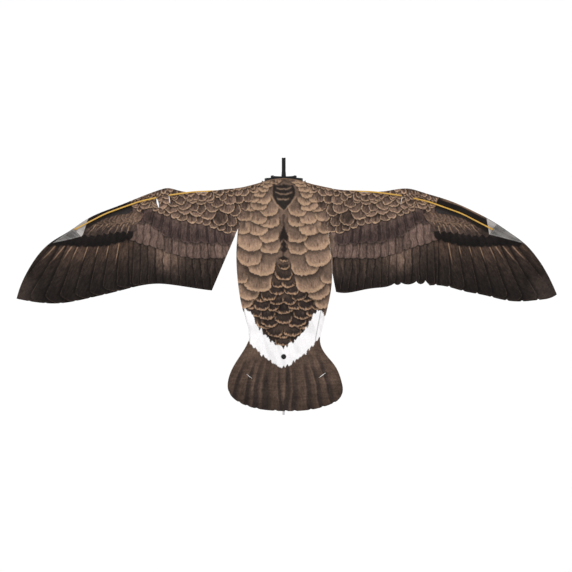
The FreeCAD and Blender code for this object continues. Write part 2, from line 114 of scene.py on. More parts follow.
def noise(x, y, size, seed=0):
    """Smooth value noise from 0 to 1 with features about size across."""
    u, v = x / size, y / size
    i, j = np.floor(u), np.floor(v)
    fu, fv = u - i, v - j
    fu, fv = fu * fu * (3 - 2 * fu), fv * fv * (3 - 2 * fv)
    low = hashed(i, j, seed) * (1 - fu) + hashed(i + 1, j, seed) * fu
    high = hashed(i, j + 1, seed) * (1 - fu) + hashed(i + 1, j + 1, seed) * fu
    return low * (1 - fv) + high * fv


def smooth(t):
    """Eases from 0 to 1 while t goes from 0 to 1."""
    t = np.clip(t, 0, 1)
    return t * t * (3 - 2 * t)


def sides_of(loop):
    """The straight sides of a closed loop of corners."""
    return list(zip(loop, loop[1:] + loop[:1]))


def signed_area(loop):
    """Area within a loop, positive where it runs anticlockwise."""
    return 0.5 * sum(xa * yb - xb * ya for (xa, ya), (xb, yb) in sides_of(loop))


def inside(x, y, loop):
    """True where a point lies inside a closed loop of corners."""
    result = np.zeros(len(x), bool)
    for (xa, ya), (xb, yb) in sides_of(loop):
        if ya != yb:
            crosses = (ya > y) != (yb > y)
            result ^= crosses & (x < (xb - xa) * (y - ya) / (yb - ya) + xa)
    return result


def distance_to(x, y, sides):
    """Distance of each point to the nearest of some straight sides."""
    nearest = np.full(len(x), 1e9)
    for (xa, ya), (xb, yb) in sides:
        dx, dy = xb - xa, yb - ya
        length = dx * dx + dy * dy
        if length > 0:
            t = np.clip(((x - xa) * dx + (y - ya) * dy) / length, 0, 1)
            nearest = np.minimum(nearest, np.hypot(x - xa - t * dx, y - ya - t * dy))
    return nearest


# ---------------------------------------------------------------- outlines of the cloth, from the CAD sheets

def snapped(x):
    """CAD sheets stop half a millimetre short of a hinge line; the cloth runs on to it."""
    for line in (SHOULDER_X, WRIST_X):
        if abs(abs(x) - line) < 0.6:
            return math.copysign(line, x)
    return x


def outer_edge(node, level=SHEET_TOP):
    """The outer edge of a flat CAD sheet's top face, as a loop of corners."""
    mesh = frame["nodes"][node].data
    points = {}
    index = []
    for v in mesh.vertices:
        key = tuple(round(c / MM, 2) for c in v.co)
        index.append(points.setdefault(key, len(points)))
    places = list(points)
    open_edges = {}
    for face in mesh.polygons:
        corners = [index[i] for i in face.vertices]
        if face.normal.z < 0.9 or any(abs(places[i][2] - level) > 0.05 for i in corners):
            continue
        for a, b in zip(corners, corners[1:] + corners[:1]):
            if (b, a) in open_edges:
                del open_edges[(b, a)]
            else:
                open_edges[(a, b)] = True
    following = {a: b for a, b in open_edges}
    loops = []
    while following:
        start, here = following.popitem()
        loop = [start]
        while here != start and here in following:
            loop.append(here)
            here = following.pop(here)
        loops.append([(snapped(places[i][0]), places[i][1]) for i in loop])
    return max(loops, key=lambda loop: np.ptp([p[0] for p in loop]) * np.ptp([p[1] for p in loop]))


def resampled(loop, step):
    """The loop with its sides cut to about step, keeping its corners; hinge lines are cut at whole steps."""
    count = len(loop)
    corners = []
    for i in range(count):
        a, b, c = (Vector(loop[(i + k) % count]) for k in (-1, 0, 1))
        before, after = b - a, c - b
        if before.length < 1e-6 or after.length < 1e-6:
            continue
        if before.angle(after) > math.radians(18):
            corners.append(i)
    result = []
    for start, end in zip(corners, corners[1:] + [corners[0] + count]):
        run = [loop[i % count] for i in range(start, end + 1)]
        straight_up = abs(run[0][0] - run[-1][0]) < 0.01 and snapped(run[0][0] + 0.1) == run[0][0]
        result.append(run[0])
        if straight_up:
            low, high = sorted((run[0][1], run[-1][1]))
            rows = [k * step for k in range(math.ceil(low / step + 0.4), math.floor(high / step - 0.4) + 1)]
            if run[-1][1] < run[0][1]:
                rows.reverse()
            result += [(run[0][0], y) for y in rows]
            continue
        lengths = np.cumsum([0] + [math.dist(p, q) for p, q in zip(run, run[1:])])
        cuts = max(1, round(lengths[-1] / step))
        for k in range(1, cuts):
            at = lengths[-1] * k / cuts
            result.append(tuple(np.interp(at, lengths, [p[axis] for p in run]) for axis in (0, 1)))
    return result


def lens(start, end, width, steps=8):
    """A narrow pointed opening from start to end."""
    a, b = np.array(start, float), np.array(end, float)
    across = np.array([-(b - a)[1], (b - a)[0]]) / math.dist(start, end) * width / 2
    ts = [k / steps for k in range(steps + 1)]
    there = [a + (b - a) * t + across * math.sin(math.pi * t) for t in ts]
    back = [a + (b - a) * t - across * math.sin(math.pi * t) for t in ts[-2:0:-1]]
    return [tuple(p) for p in there + back]


# ---------------------------------------------------------------- the printed feathers

class Print:
    """Colours laid feather over feather on a set of points."""

    def __init__(self, x, y):
        self.true_x, self.true_y = x, y
        # Drawn edges wander a little, as painted ones do, but less on the long feathers of hand and tail.
        hand = smooth((np.abs(x) - 380) / 40) * smooth((-215 - y) / 20)
        wander = 1 - 0.75 * hand - 0.5 * (y < -545)
        self.x = x + wander * (4.5 * (noise(x, y, 16, 21) - 0.5) + 2.0 * (noise(x, y, 5, 22) - 0.5))
        self.y = y + wander * (5.0 * (noise(x, y, 17, 23) - 0.5) + 2.4 * (noise(x, y, 5, 24) - 0.5))
        self.colour = np.zeros((len(x), 3))
        self.mottle = 0.6 * noise(x, y, 13, 4) + 0.4 * noise(x, y, 4.5, 5)

    def fill(self, colour):
        """One colour everywhere."""
        self.colour[:] = colour

    def mix(self, weight, colour):
        """Lays a colour over the print, from not at all where weight is 0 to wholly where it is 1."""
        weight = np.clip(weight, 0, 1)[:, None]
        self.colour = self.colour * (1 - weight) + np.array(colour, float) * weight

    def shade(self, factor):
        """Darkens or lightens what is there."""
        self.colour *= factor[:, None]

    def feather(self, tip, width, length, turn=0.0, tip_colour=TAN_TIP, root_colour=TAN_ROOT, rim=TAN_RIM,
                rim_width=3.0, round_by=1.0, shaft=None, shaft_width=1.3, shaft_at=(0.0, 0.6), jag=0.0,
                streak=0.16, shadow=0.72, grade=0.75, fade=None, seed=0):
        """One feather over what is behind it, from its tip, half width and length.

        turn swings it outwards from straight back, in degrees. round_by says how round its end is, jag how
        ragged, streak how strong its barbs are, and shadow how bright the print stays just outside it.
        grade, shaft_at and fade are shares of its length from the tip: where the root's colour is reached,
        where the shaft starts and ends, and where it melts into its surroundings.
        """
        angle = math.radians(turn)
        dx, dy = self.x - tip[0], self.y - tip[1]
        along = -(dx * math.sin(angle) - dy * math.cos(angle))
        across = dx * math.cos(angle) + dy * math.sin(angle)
        reach_of_shadow = max(6.0, 0.45 * width)
        near = (np.abs(across) < width + reach_of_shadow) & (along > -reach_of_shadow - 3) & (along < length)
        if not near.any():
            return
        along, across = along[near], across[near]
        u = across / width
        lift = round_by * width * (1 - np.sqrt(np.clip(1 - u * u, 0, 1)))
        ragged = jag * (noise(across + 31 * seed, along * 0.15, 2.6, seed) - 0.5) * 2
        edge = along - lift + ragged
        side = (1 - np.abs(u)) * width
        # Its shadow on the feathers behind
        colour = self.colour[near]
        outside = np.maximum(-edge, -side)
        fall = shadow + (1 - shadow) * smooth(outside / reach_of_shadow)
        shown = np.ones(len(along)) if fade is None else 1 - smooth((along / length - fade) / (0.95 - fade))
        fall = 1 - (1 - fall) * shown
        colour = np.where((outside > 0)[:, None], colour * fall[:, None], colour)
        # Its vane, rim and shaft
        t = smooth(edge / (grade * length))[:, None]
        vane = np.array(tip_colour, float) * (1 - t) + np.array(root_colour, float) * t
        fine = noise(across + 0.2 * np.abs(along), along * 0.2, 1.9, seed) - 0.5
        vane = vane * (1 + 2 * streak * fine + 0.25 * (self.mottle[near] - 0.5))[:, None]
        if rim is not None:
            inward = np.minimum(edge, side * 1.3) + 1.2 * fine * rim_width
            weight = smooth(1.2 - inward / rim_width) * smooth(1.4 - along / (0.8 * length))
            vane = vane * (1 - weight[:, None]) + np.array(rim, float) * weight[:, None]
        if shaft is not None:
            reach = along / length
            line = smooth((reach - shaft_at[0]) / 0.12) * smooth((shaft_at[1] - reach) / 0.25)
            line *= np.exp(-(across / shaft_width) ** 2)
            vane = vane * (1 - line[:, None]) + np.array(shaft, float) * line[:, None]
        cover = (shown * smooth(edge / 1.4 + 0.5) * smooth(side / 1.4 + 0.5))[:, None]
        self.colour[near] = colour * (1 - cover) + vane * cover

    def stroke(self, start, end, width, colour, strength=0.7):
        """A thin line that narrows and fades out towards its end."""
        length = math.dist(start, end)
        dx, dy = (end[0] - start[0]) / length, (end[1] - start[1]) / length
        along = ((self.x - start[0]) * dx + (self.y - start[1]) * dy) / length
        across = (self.x - start[0]) * dy - (self.y - start[1]) * dx
        weight = np.exp(-(across / (width * (1.2 - 0.6 * np.clip(along, 0, 1)))) ** 2)
        self.mix(strength * weight * smooth(12 * along + 0.5) * smooth(1.7 * (1 - along)), colour)

    def quill(self, root, tip, width, **looks):
        """A long feather given by its root and its tip."""
        turn = math.degrees(math.atan2(tip[0] - root[0], root[1] - tip[1]))
        self.feather(tip, width, math.dist(root, tip), turn, **looks)


def toned(colour, tone):
    """A colour made lighter or darker."""
    return [tone * c for c in colour]


def spread(count):
    """Whole numbers from 0, each with its share of the way to the last."""
    return [(k, k / (count - 1)) for k in range(count)]


# Big tan feathers of the back: distance from the middle, tip, half width
BACK_FEATHERS = [
    (114, -424, 22), (103, -399, 29), (80, -378, 38), (126, -356, 19), (64, -331, 35), (104, -305, 32),
    (43, -273, 26), (98, -260, 33), (43, -239, 26), (78, -217, 29), (120, -214, 20), (41, -196, 25),
    (74, -186, 23), (112, -180, 18), (43, -165, 24), (98, -153, 18), (74, -150, 21), (62, -133, 20),
    (90, -127, 16), (70, -112, 18), (58, -98, 16), (84, -100, 13), (46, -86, 14), (68, -82, 12),
    (30, -76, 14), (54, -72, 12), (12, -68, 13),
]
# Dark feathers with wide tan edges that run down the middle to the white rump
RUMP_FEATHERS = [
    (0, -531, 20), (0, -509, 15), (27, -504, 21), (56, -482, 19), (40, -477, 22), (0, -468, 21),
    (54, -454, 24), (84, -447, 17), (0, -438, 33), (65, -428, 21), (98, -428, 15), (32, -430, 16),
    (19, -414, 19), (67, -405, 20), (94, -404, 14), (44, -402, 18), (22, -386, 19), (13, -366, 16),
    (0, -344, 22), (0, -316, 15), (0, -295, 11),
]


def both(rows):
    """Feather places with the ones off the middle mirrored to the other side, the rearmost first."""
    mirrored = [(-x, y, width) for x, y, width in rows if x > 0]
    return sorted(rows + mirrored, key=lambda row: (row[1], row[0]))


def paint_back(p):
    """The dark scaly middle of the rump, the big tan feathers over it and the marks on the mid-line."""
    p.fill(TAN_ROOT)
    inner = smooth((118 - np.abs(p.x)) / 10) * smooth((-300 - p.y) / 20)
    p.mix(inner, SCALE_BROWN)
    p.shade(1 - 0.4 * smooth((-470 - p.y) / 40) * smooth(p.mottle * 1.6 - 0.2))
    for k, (x, y, width) in enumerate(both(RUMP_FEATHERS)):
        shift = 3.0 * (hashed(k, 1, 31) - 0.5)
        p.feather((x + shift, y), 1.15 * width, 1.5 * width, 0.12 * x, tip_colour=SCALE_DARK,
                  root_colour=SCALE_BROWN, rim=SCALE_RIM, rim_width=6.4, round_by=0.68, jag=1.3, streak=0.24,
                  shadow=0.55, grade=0.95, fade=0.55, seed=k)
    for k, (x, y, width) in enumerate(both(BACK_FEATHERS)):
        shift, tone = 5.0 * (hashed(k, 2, 32) - 0.5), 0.92 + 0.16 * hashed(k, 3, 33)
        p.feather((x + shift, y + shift), 1.08 * width, 1.75 * width, 0.1 * x,
                  tip_colour=toned(TAN_TIP, tone), root_colour=toned(TAN_ROOT, tone), rim_width=9.0,
                  round_by=0.6 + 0.2 * hashed(k, 4, 34), shaft=TAN_SHAFT, shaft_width=1.1,
                  shaft_at=(0.16, 0.48), jag=1.5, shadow=0.68, grade=0.7, fade=0.4, seed=k + 40)
    paint_spine_marks(p)
    paint_shield(p)


def paint_spine_marks(p):
    """Dark spindle and small marks down the middle of the back."""
    x, y = np.abs(p.x + 3 * (p.mottle - 0.5)), p.y
    spindle = 16 * np.sqrt(np.clip(1 - ((y + 221) / 30) ** 2, 0, 1))
    spindle *= np.interp(y, [-250, -236, -205], [1.1, 1.0, 0.6])
    p.mix(0.92 * smooth((spindle - x) / 5), SCALE_DARK)
    chevron = np.exp(-((y + 231 + 0.9 * x) / 3.0) ** 2) * (x < 12)
    p.mix(0.8 * chevron, TAN_TIP)
    for centre, reach, half in ((-257, 12, 11), (-284, 6, 16)):
        mark = half * np.clip(1 - np.abs(y - centre) / reach, 0, 1) ** 0.6
        p.mix(0.9 * smooth((mark - x) / 4), SCALE_DARK)
    stem = 5 * np.clip((y + 292) / 20, 0, 1) * (y < -160)
    p.mix(0.55 * smooth((stem - x) / 4), SCALE_DARK)


def paint_shield(p):
    """Dark shield at the neck with pale scalloped lines across it."""
    x, y = np.abs(p.x), p.y
    half = np.interp(y, [-151, -141, -129, -116, -107, -94, -79, -76], [0, 10, 20, 29, 34, 34, 28, 22])
    shield = smooth((half - x) / 4) * smooth((y + 152) / 3) * smooth((-75 - y) / 3)
    bracket = np.exp(-((x - half - 2) / 3.0) ** 2) * smooth((-104 - y) / 8) * smooth((y + 150) / 6)
    p.mix(0.6 * bracket, TAN_RIM)
    p.mix(shield * (0.72 + 0.5 * p.mottle), SHIELD_DARK)
    for level, reach in ((-88, 24), (-103, 27), (-118, 20)):
        bow = level + 0.010 * x * x + 2.0 * np.exp(-(x / 2.5) ** 2)
        band = np.exp(-((y - bow) / 2.6) ** 2) * smooth((reach - x) / 6)
        p.mix(0.8 * band * shield, TAN_TIP)
    neck = smooth((y + 74) / 8) * smooth((36 - x) / 10)
    p.mix(0.75 * neck * smooth((p.mottle - 0.32) * 4), SCALE_BROWN)


def rump_upper(x):
    """How far forward the white rump reaches."""
    return np.interp(np.abs(x + 3), [0, 12, 33, 66, 88, 103, 112, 125],
                     [-536, -530, -516, -480, -441, -424, -434, -446])


def rump_lower(x):
    """How far back the white rump reaches."""
    return np.interp(np.abs(x + 3), [0, 22, 66, 95, 130], [-590, -581, -549, -516, -490])


def paint_rump(p):
    """White rump with ragged edges to the back and to the tail, with the soft grey shade of wrinkles and a
    shade line along its folded sides painted on.
    """
    x, y = p.true_x, p.true_y
    teeth = 11 * (noise(x, 0 * y, 5.2, 41) - 0.5) + 6 * (noise(x, 0 * y, 2.1, 42) - 0.5)
    upper, lower = rump_upper(x) + teeth, rump_lower(x) - 0.8 * teeth
    white = smooth((upper - y) / 1.6 + 0.5) * smooth((y - lower) / 1.6 + 0.5)
    p.mix(white, RUMP_WHITE)
    # Painted shade of soft wrinkles: the white greys a little in uneven patches.
    soft = noise(x * 0.8 + 0.25 * y, y * 0.3, 9, 8)
    p.shade(1 - 0.05 * white * smooth((soft - 0.45) * 2))
    # Painted shade along the fold of the cloth's edge: a thin grey line down each side of the white rump.
    fold_shade_line = np.interp(y, [-506, -470, -425], [93, 100, 109])
    fold_shade = np.exp(-((np.abs(x + 3) - fold_shade_line) / 0.9) ** 2)
    p.shade(1 - 0.38 * white * fold_shade)


# The tail's feathers fan out from this place on the mid-line
TAIL_APEX = -330
# Broad dark wedges of the tail: heading from straight back and half width, in degrees
TAIL_WEDGES = [(-23.0, 1.6), (-17.5, 1.4), (-13.3, 1.9), (-8.6, 2.5), (-2.0, 1.2), (3.4, 2.2), (6.9, 2.0),
               (13.6, 1.9), (18.4, 1.6), (23.5, 1.8)]


def paint_tail(p):
    """Fan of broad brown feathers behind the rump."""
    x, y = p.x + 2, p.y
    tail = y < rump_lower(p.x) + 12
    angle = np.degrees(np.arctan2(x, TAIL_APEX - y))
    reach = np.hypot(x, y - TAIL_APEX)
    fan = np.zeros((len(x), 3)) + TAIL_BROWN
    bend = angle + 1.6 * smooth((reach - 300) / 80) * np.sign(angle)
    for k, (centre, half) in enumerate(TAIL_WEDGES):
        u = (bend - centre) / half
        start = 215 + 40 * hashed(k, 2, 6)
        dark = 0.76 * (smooth((u + 1) * 3) * smooth((1 - u) * 0.9) * smooth((reach - start) / 70))[:, None]
        fan = fan * (1 - dark) + np.array(TAIL_DARK, float) * dark
        light = 0.3 * (np.exp(-((u + 1.15) / 0.22) ** 2) * smooth((reach - 230) / 60))[:, None]
        fan = fan * (1 - light) + np.array(COVERT, float) * light
    streaks = noise(angle * 5, reach * 0.12, 2.0, 12) + noise(y, x * 0.1, 3.0, 13) - 1
    fan *= (1.04 + 0.2 * streaks + 0.3 * (p.mottle - 0.5))[:, None]
    cloud = noise(x, y, 42, 17) - 0.5
    fan *= (1 + 0.2 * cloud - 0.24 * smooth((reach - 310) / 70))[:, None]
    p.colour[tail] = fan[tail]


# The primaries from the wing tip inwards: how far out each lies at the coverts' rear and at its own tip
PRIMARIES = [(634, 772), (609, 738), (590, 692), (574, 648), (547, 606), (518, 564), (491, 523), (463, 485),
             (437, 446), (411, 409)]
PRIMARY_ROOT_Y = -240.0


def trailing_edge(x):
    """Roughly how far back the trailing edge of the wing lies, x outwards."""
    return np.interp(x, [130, 224, 308, 369, 402, 435, 477, 529, 618, 669, 726, 768],
                     [-376, -375, -359, -354, -354, -359, -366, -384, -398, -405, -401, -386])


def paint_primaries(p):
    """Long dark feathers fanning out to the wing tip, inner ones over outer ones, then their pale shafts."""
    for k, (root_x, tip_x) in enumerate(PRIMARIES):
        low = float(trailing_edge(tip_x)) - 5
        slant = (tip_x - root_x) / (PRIMARY_ROOT_Y - low)
        vane = toned(FLIGHT_BROWN, 0.85 + 0.25 * hashed(k, 5, 51))
        p.quill((root_x - 28 * slant, PRIMARY_ROOT_Y + 28), (tip_x, low), 30 - 0.8 * k,
                tip_colour=FLIGHT_DARK, root_colour=vane, rim=FLIGHT_RIM, rim_width=1.4, round_by=0.4,
                streak=0.24, shadow=0.5, grade=1.2, seed=80 + k)
    for k, (root_x, tip_x) in enumerate(PRIMARIES):
        slant = (tip_x - root_x) / (PRIMARY_ROOT_Y - float(trailing_edge(tip_x)))
        drop = 44 + 34 * hashed(k, 6, 52)
        p.stroke((root_x, PRIMARY_ROOT_Y), (root_x + slant * drop, PRIMARY_ROOT_Y - drop), 1.4, FLIGHT_SHAFT,
                 0.85 if k < 8 else 0.25)


def paint_secondaries(p):
    """Shorter feathers from the wrist in to the body, palest about halfway."""
    for k, t in spread(13):
        tip_x = 410 - 268 * t
        pale = math.exp(-((tip_x - 318) / 42) ** 2)
        vane = toned(SECONDARY_BROWN, 0.62 + 0.44 * pale + 0.1 * hashed(k, 7, 53))
        p.feather((tip_x, float(trailing_edge(tip_x)) - 4), 15, 150, 2 - 11 * t, tip_colour=FLIGHT_DARK,
                  root_colour=vane, rim=SECONDARY_RIM if pale < 0.5 else None, rim_width=1.6, round_by=0.35,
                  streak=0.22, shadow=0.5, grade=0.8 - 0.2 * pale, seed=100 + k)
    for place in (153, 171, 206, 232):
        p.stroke((place - 6, -292), (place - 1, -352), 2.6, (96, 78, 68), 0.5)


def paint_flight(p):
    """The flight feathers: primaries, the greyer wing tip and secondaries."""
    p.fill(FLIGHT_DARK)
    paint_primaries(p)
    tip = smooth((p.x - 672) / 60) * smooth((-318 - p.y) / 30)
    p.mix(0.55 * tip * (0.7 + 0.6 * p.mottle), TIP_GREY)
    paint_secondaries(p)


def purple_limit(x):
    """How far back the purple-brown greater coverts reach."""
    return np.interp(x, [130, 238, 285, 327, 336, 379, 407, 440],
                     [-280, -282, -277, -265, -258, -246, -238, -226])


def paint_greater_coverts(p):
    """Dark purple-brown band between the small coverts and the secondaries, in two tiers."""
    for k, t in spread(15):
        tip_x = 424 - 290 * t
        tone = 0.88 + 0.22 * hashed(k, 8, 54)
        p.feather((tip_x, float(purple_limit(tip_x)) - 2), 13, 135, 7 - 16 * t,
                  tip_colour=toned(PURPLE_BROWN, tone), root_colour=toned(PURPLE_BROWN, tone * 1.08),
                  rim=(82, 67, 62), rim_width=1.4, round_by=0.5, shaft=(118, 97, 86), shaft_width=0.9,
                  shaft_at=(0.02, 0.42), streak=0.22, shadow=0.62, seed=170 + k)
    for k, t in spread(10):
        tip_x = 404 - 240 * t
        limit = float(covert_limit(tip_x)) - 34 - 24 * math.sin(3.1 * t)
        p.feather((tip_x, limit), 19, 110, 14 - 22 * t, tip_colour=(66, 53, 50), root_colour=PURPLE_BROWN,
                  rim=(84, 68, 63), rim_width=2.0, round_by=0.6, shaft=(44, 35, 34), shaft_width=1.6,
                  shaft_at=(0.0, 0.5), streak=0.22, shadow=0.65, seed=190 + k)


def black_limit(x):
    """How far back the near-black primary coverts reach."""
    return np.interp(x, [435, 449, 477, 505, 571, 613, 668], [-222, -233, -238, -245, -246, -240, -240])


def paint_primary_coverts(p):
    """Near-black patch over the primaries' roots, with pale-shafted feathers and a brown strip above."""
    for k, t in spread(12):
        tip_x = 668 - 226 * t
        p.feather((tip_x, float(black_limit(tip_x)) - 2), 13, 62, 66 - 48 * t, tip_colour=NEAR_BLACK,
                  root_colour=(40, 34, 32), rim=None, round_by=0.8, streak=0.1, shadow=0.7, seed=140 + k)
    for k, t in spread(9):
        p.feather((578 - 146 * t, -219 + 13 * t), 12, 56, 50 - 26 * t, tip_colour=(62, 51, 46),
                  root_colour=(92, 75, 65), rim=None, round_by=0.6, shaft=FLIGHT_SHAFT, shaft_width=1.1,
                  shaft_at=(0.25, 0.95), streak=0.24, shadow=0.92, seed=150 + k)
    for k, t in spread(12):
        tone = 0.82 + 0.3 * t
        p.feather((548 - 128 * t, -195 + 5 * hashed(k, 9, 55) + 17 * t), 11, 30, 44,
                  tip_colour=toned(STRIP_BROWN, tone), root_colour=toned(STRIP_ROOT, tone),
                  rim=toned(STRIP_RIM, tone), rim_width=3.6, round_by=0.8, jag=4.5, streak=0.3, shadow=0.85,
                  seed=160 + k)
    for k in range(8):
        x, y = 432 + 15.5 * k, -188 + 9 * (hashed(k, 3, 57) - 0.5)
        p.stroke((x, y), (x + 12 + 2.6 * k, y - 30), 0.95, (168, 138, 113), 0.9)


def leading_edge(x):
    """Roughly how far back the leading edge lies, x outwards."""
    return np.interp(x, [0, 60, 140, 220, 290, 335, 400, 500, 600, 680, 768],
                     [-58, -69, -88, -96, -95, -87, -103, -136, -188, -245, -385])


def paint_leading_wedge(p):
    """Near-black strip along the leading edge of the hand, with a tan line at the very edge."""
    low = np.interp(p.x, [416, 422, 434, 468, 505, 566, 640], [-120, -136, -156, -160, -170, -210, -232])
    where = smooth((p.y - low) / 3 + 0.5) * smooth((p.x - 406) / 22)
    p.mix(0.94 * where, (30, 26, 24))
    depth = leading_edge(p.true_x) - p.true_y
    p.mix(0.7 * where * smooth((depth - 25) / 10) * smooth((540 - p.x) / 80), (54, 50, 51))
    piping = smooth((3.4 - depth) / 2) * smooth((p.x - 430) / 30) * smooth((600 - p.x) / 60)
    p.mix(0.8 * piping, EDGE_TAN)


def covert_limit(x):
    """How far back the small scalloped coverts reach, x outwards."""
    places = [60, 130, 154, 182, 219, 257, 290, 313, 337, 365, 380, 393, 411, 421, 436]
    limits = [-205, -209, -214, -205, -189, -184, -177, -170, -160, -149, -140, -146, -152, -140, -124]
    return np.interp(x, places, limits)


# Rows of small coverts from the rear: how far back in their band, half width of a feather
COVERT_ROWS = [(1.0, 13.5), (0.8, 21.0), (0.54, 19.5), (0.32, 15.5), (0.15, 12.0), (0.02, 9.0)]


def paint_small_coverts(p):
    """Rows of rimmed scallops from the leading edge back, the rear row laid first and the biggest."""
    p.mix(smooth((p.y - covert_limit(p.x)) / 4) * smooth((424 - p.x) / 36), COVERT_DARK)
    for row, (t, half) in enumerate(COVERT_ROWS):
        tip_x = 46.0 + 9 * hashed(row, 1, 71)
        k = 0
        while tip_x < 428 - 16 * hashed(row, 5, 74):
            chance, other = hashed(k, row, 72), hashed(k, row, 73)
            size = half * (0.72 + 0.56 * chance) * (1 - 0.42 * float(smooth((tip_x - 250) / 150)))
            tip_x += 0.84 * size
            front, back = float(leading_edge(tip_x)) - 9, float(covert_limit(tip_x))
            depth = front + (back - front) * t + (11 * (other - 0.5) if row else 0)
            turn = -12 + 52 * float(smooth((tip_x - 200) / 220)) + 34 * (other - 0.5)
            tone = 0.8 if tip_x < 190 and chance < 0.6 else 0.86 + 0.24 * other
            p.feather((tip_x, depth), size, 2.2 * size, turn, tip_colour=toned(COVERT, tone),
                      root_colour=toned(COVERT_DARK, tone), rim=COVERT_RIM, rim_width=2.8 + 1.4 * chance,
                      round_by=0.9, shaft=(56, 44, 39), shaft_width=0.9, shaft_at=(0.15, 0.55), jag=1.1,
                      streak=0.3, shadow=0.6, fade=0.6, seed=200 + 31 * row + k)
            tip_x += 0.84 * size
            k += 1


def back_share(x, y, mottle):
    """1 where the back's print lies, 0 on the wings. Its ragged side runs from the neck to the armpit."""
    side = np.abs(x)
    limit = np.interp(y, [-222, -205, -160, -120, -95, -70], [138, 124, 112, 92, 78, 62])
    limit = np.where(y < -222, 138.5, limit + 16 * (mottle - 0.5))
    limit = np.where(y < -420, 190, limit)
    return np.where(y < -222, limit > side, smooth((limit - side) / 3 + 0.5))


def print_colours(x, y):
    """The whole print at points in millimetres, as sRGB from 0 to 255."""
    wing, body = Print(np.abs(x), y), Print(x, y)
    for paint in (paint_flight, paint_greater_coverts, paint_primary_coverts, paint_leading_wedge,
                  paint_small_coverts):
        paint(wing)
    for paint in (paint_back, paint_tail, paint_rump):
        paint(body)
    share = back_share(x, y, body.mottle)[:, None]
    colour = wing.colour * (1 - share) + body.colour * share
    dark = np.clip(1.15 - colour.mean(axis=1) / 230, 0, 1)
    grain = 1 + dark * (0.30 * (noise(x, y, 2.1, 91) - 0.5) + 0.22 * (noise(x, y, 34, 92) - 0.5))
    return np.clip(colour * grain[:, None], 0, 255)


# ---------------------------------------------------------------- how high the cloth lies

# A full turn in radians, near enough for ripples and threads, and the seed of the cloth's slack
TURN = 6.283
SEED = 7

# Each wing's two slits, x outwards: front and rear end of the inner one, then of the outer one
SLITS = {-1: ((322.5, -106.0), (319.5, -131.0), (357.5, -113.5), (350.5, -142.5)),
         1: ((333.0, -109.0), (328.5, -134.0), (364.5, -114.0), (361.0, -134.0))}
SLIT_WIDTHS = {-1: (1.0, 5.6), 1: (0.5, 0.4)}
# The strip between the slits passes over the spar: its front edge's place and how high it bows
STRIP_FRONT = -99.0
STRIP_RISE = 8.4

# One spar's centre line from the hub out to the pocket: out, along, up
SPAR_ROUTE = [(3, -96, 3.2), (60, -95, 3.2), (150, -93, 6.3), (197, -94, 6.3), (252, -96.5, 13.2),
              (330, -107, 13.2), (405, -123.5, 13.2), (500, -157.5, 13.2), (588, -203, 13.2)]
SPAR_R = 2.0


def spar_y(x):
    """How far back the spars lie, either side."""
    return np.interp(np.abs(x), [p[0] for p in SPAR_ROUTE], [p[1] for p in SPAR_ROUTE])


def billow(x, y):
    """Slack of the cloth: long soft waves and finer ripples, in millimetres."""
    waves = 0.0
    for k in range(11):
        heading = TURN * hashed(k, 1, SEED)
        size = 55 + 150 * hashed(k, 2, SEED)
        phase = (x * math.cos(heading) + y * math.sin(heading)) * TURN / size + TURN * hashed(k, 3, SEED)
        waves = waves + np.sin(phase) * size / 150
    return waves * 0.5


def strip_height(x, y):
    """How far the strip between each wing's slits bows up, and how far the cloth beside it dips."""
    side = np.abs(x)
    over = np.zeros(len(x))
    for sign, ((xa, ya), (xb, yb), (xc, yc), (xd, yd)) in SLITS.items():
        here = np.sign(x) == sign
        back = min(yb, yd) - 1
        u = np.clip((y - back) / (STRIP_FRONT - back), 0, 1)
        rise = STRIP_RISE * np.sin(math.pi * u ** 1.35) ** 0.8
        inner, outer = np.interp(y, [yb, ya], [xb, xa]), np.interp(y, [yd, yc], [xd, xc])
        across = (side > inner) & (side < outer) & here
        over = np.where(across, rise, over)
        near = np.minimum(np.abs(side - inner), np.abs(side - outer))
        beside = here & ~across & (side > inner - 30) & (side < outer + 30)
        beside &= (y < STRIP_FRONT + 14) & (y > back - 14)
        dip = -1.2 * smooth(1 - near / 26) * smooth((STRIP_FRONT + 14 - y) / 14)
        over = np.where(beside, dip * smooth((y - back + 14) / 14), over)
    return over


def cloth_height(x, y):
    """Height of the cloth's top face. It is held along the spars and the mid-line and slack between."""
    side = np.abs(x)
    spar_gap = np.abs(y - spar_y(x))
    held = smooth(spar_gap / 70)
    wing = smooth((side - 120) / 60)
    spine = smooth(side / 60)
    amount = 1.15 * held * (wing + (1 - wing) * spine * smooth((-150 - y) / 80))
    flutter = smooth((spar_gap - 110) / 120) * wing
    ripple = np.sin(side * TURN / 37 + 2.4 * np.sin(side / 57) + y / 60) * 1.0 * flutter
    tail = smooth((-560 - y) / 90) * (side < 180)
    fan = np.sin(np.arctan2(x, TAIL_APEX - y) * 26) * 0.9 * tail * smooth((side - 14) / 20)
    return SHEET_Z + 0.2 + billow(x, y) * amount + ripple + fan + strip_height(x, y)


# ---------------------------------------------------------------- nets and meshes

def linear(colours):
    """sRGB from 0 to 255 as linear values from 0 to 1."""
    c = np.clip(colours, 0, 255) / 255
    return np.where(c <= 0.04045, c / 12.92, ((c + 0.055) / 1.055) ** 2.4)


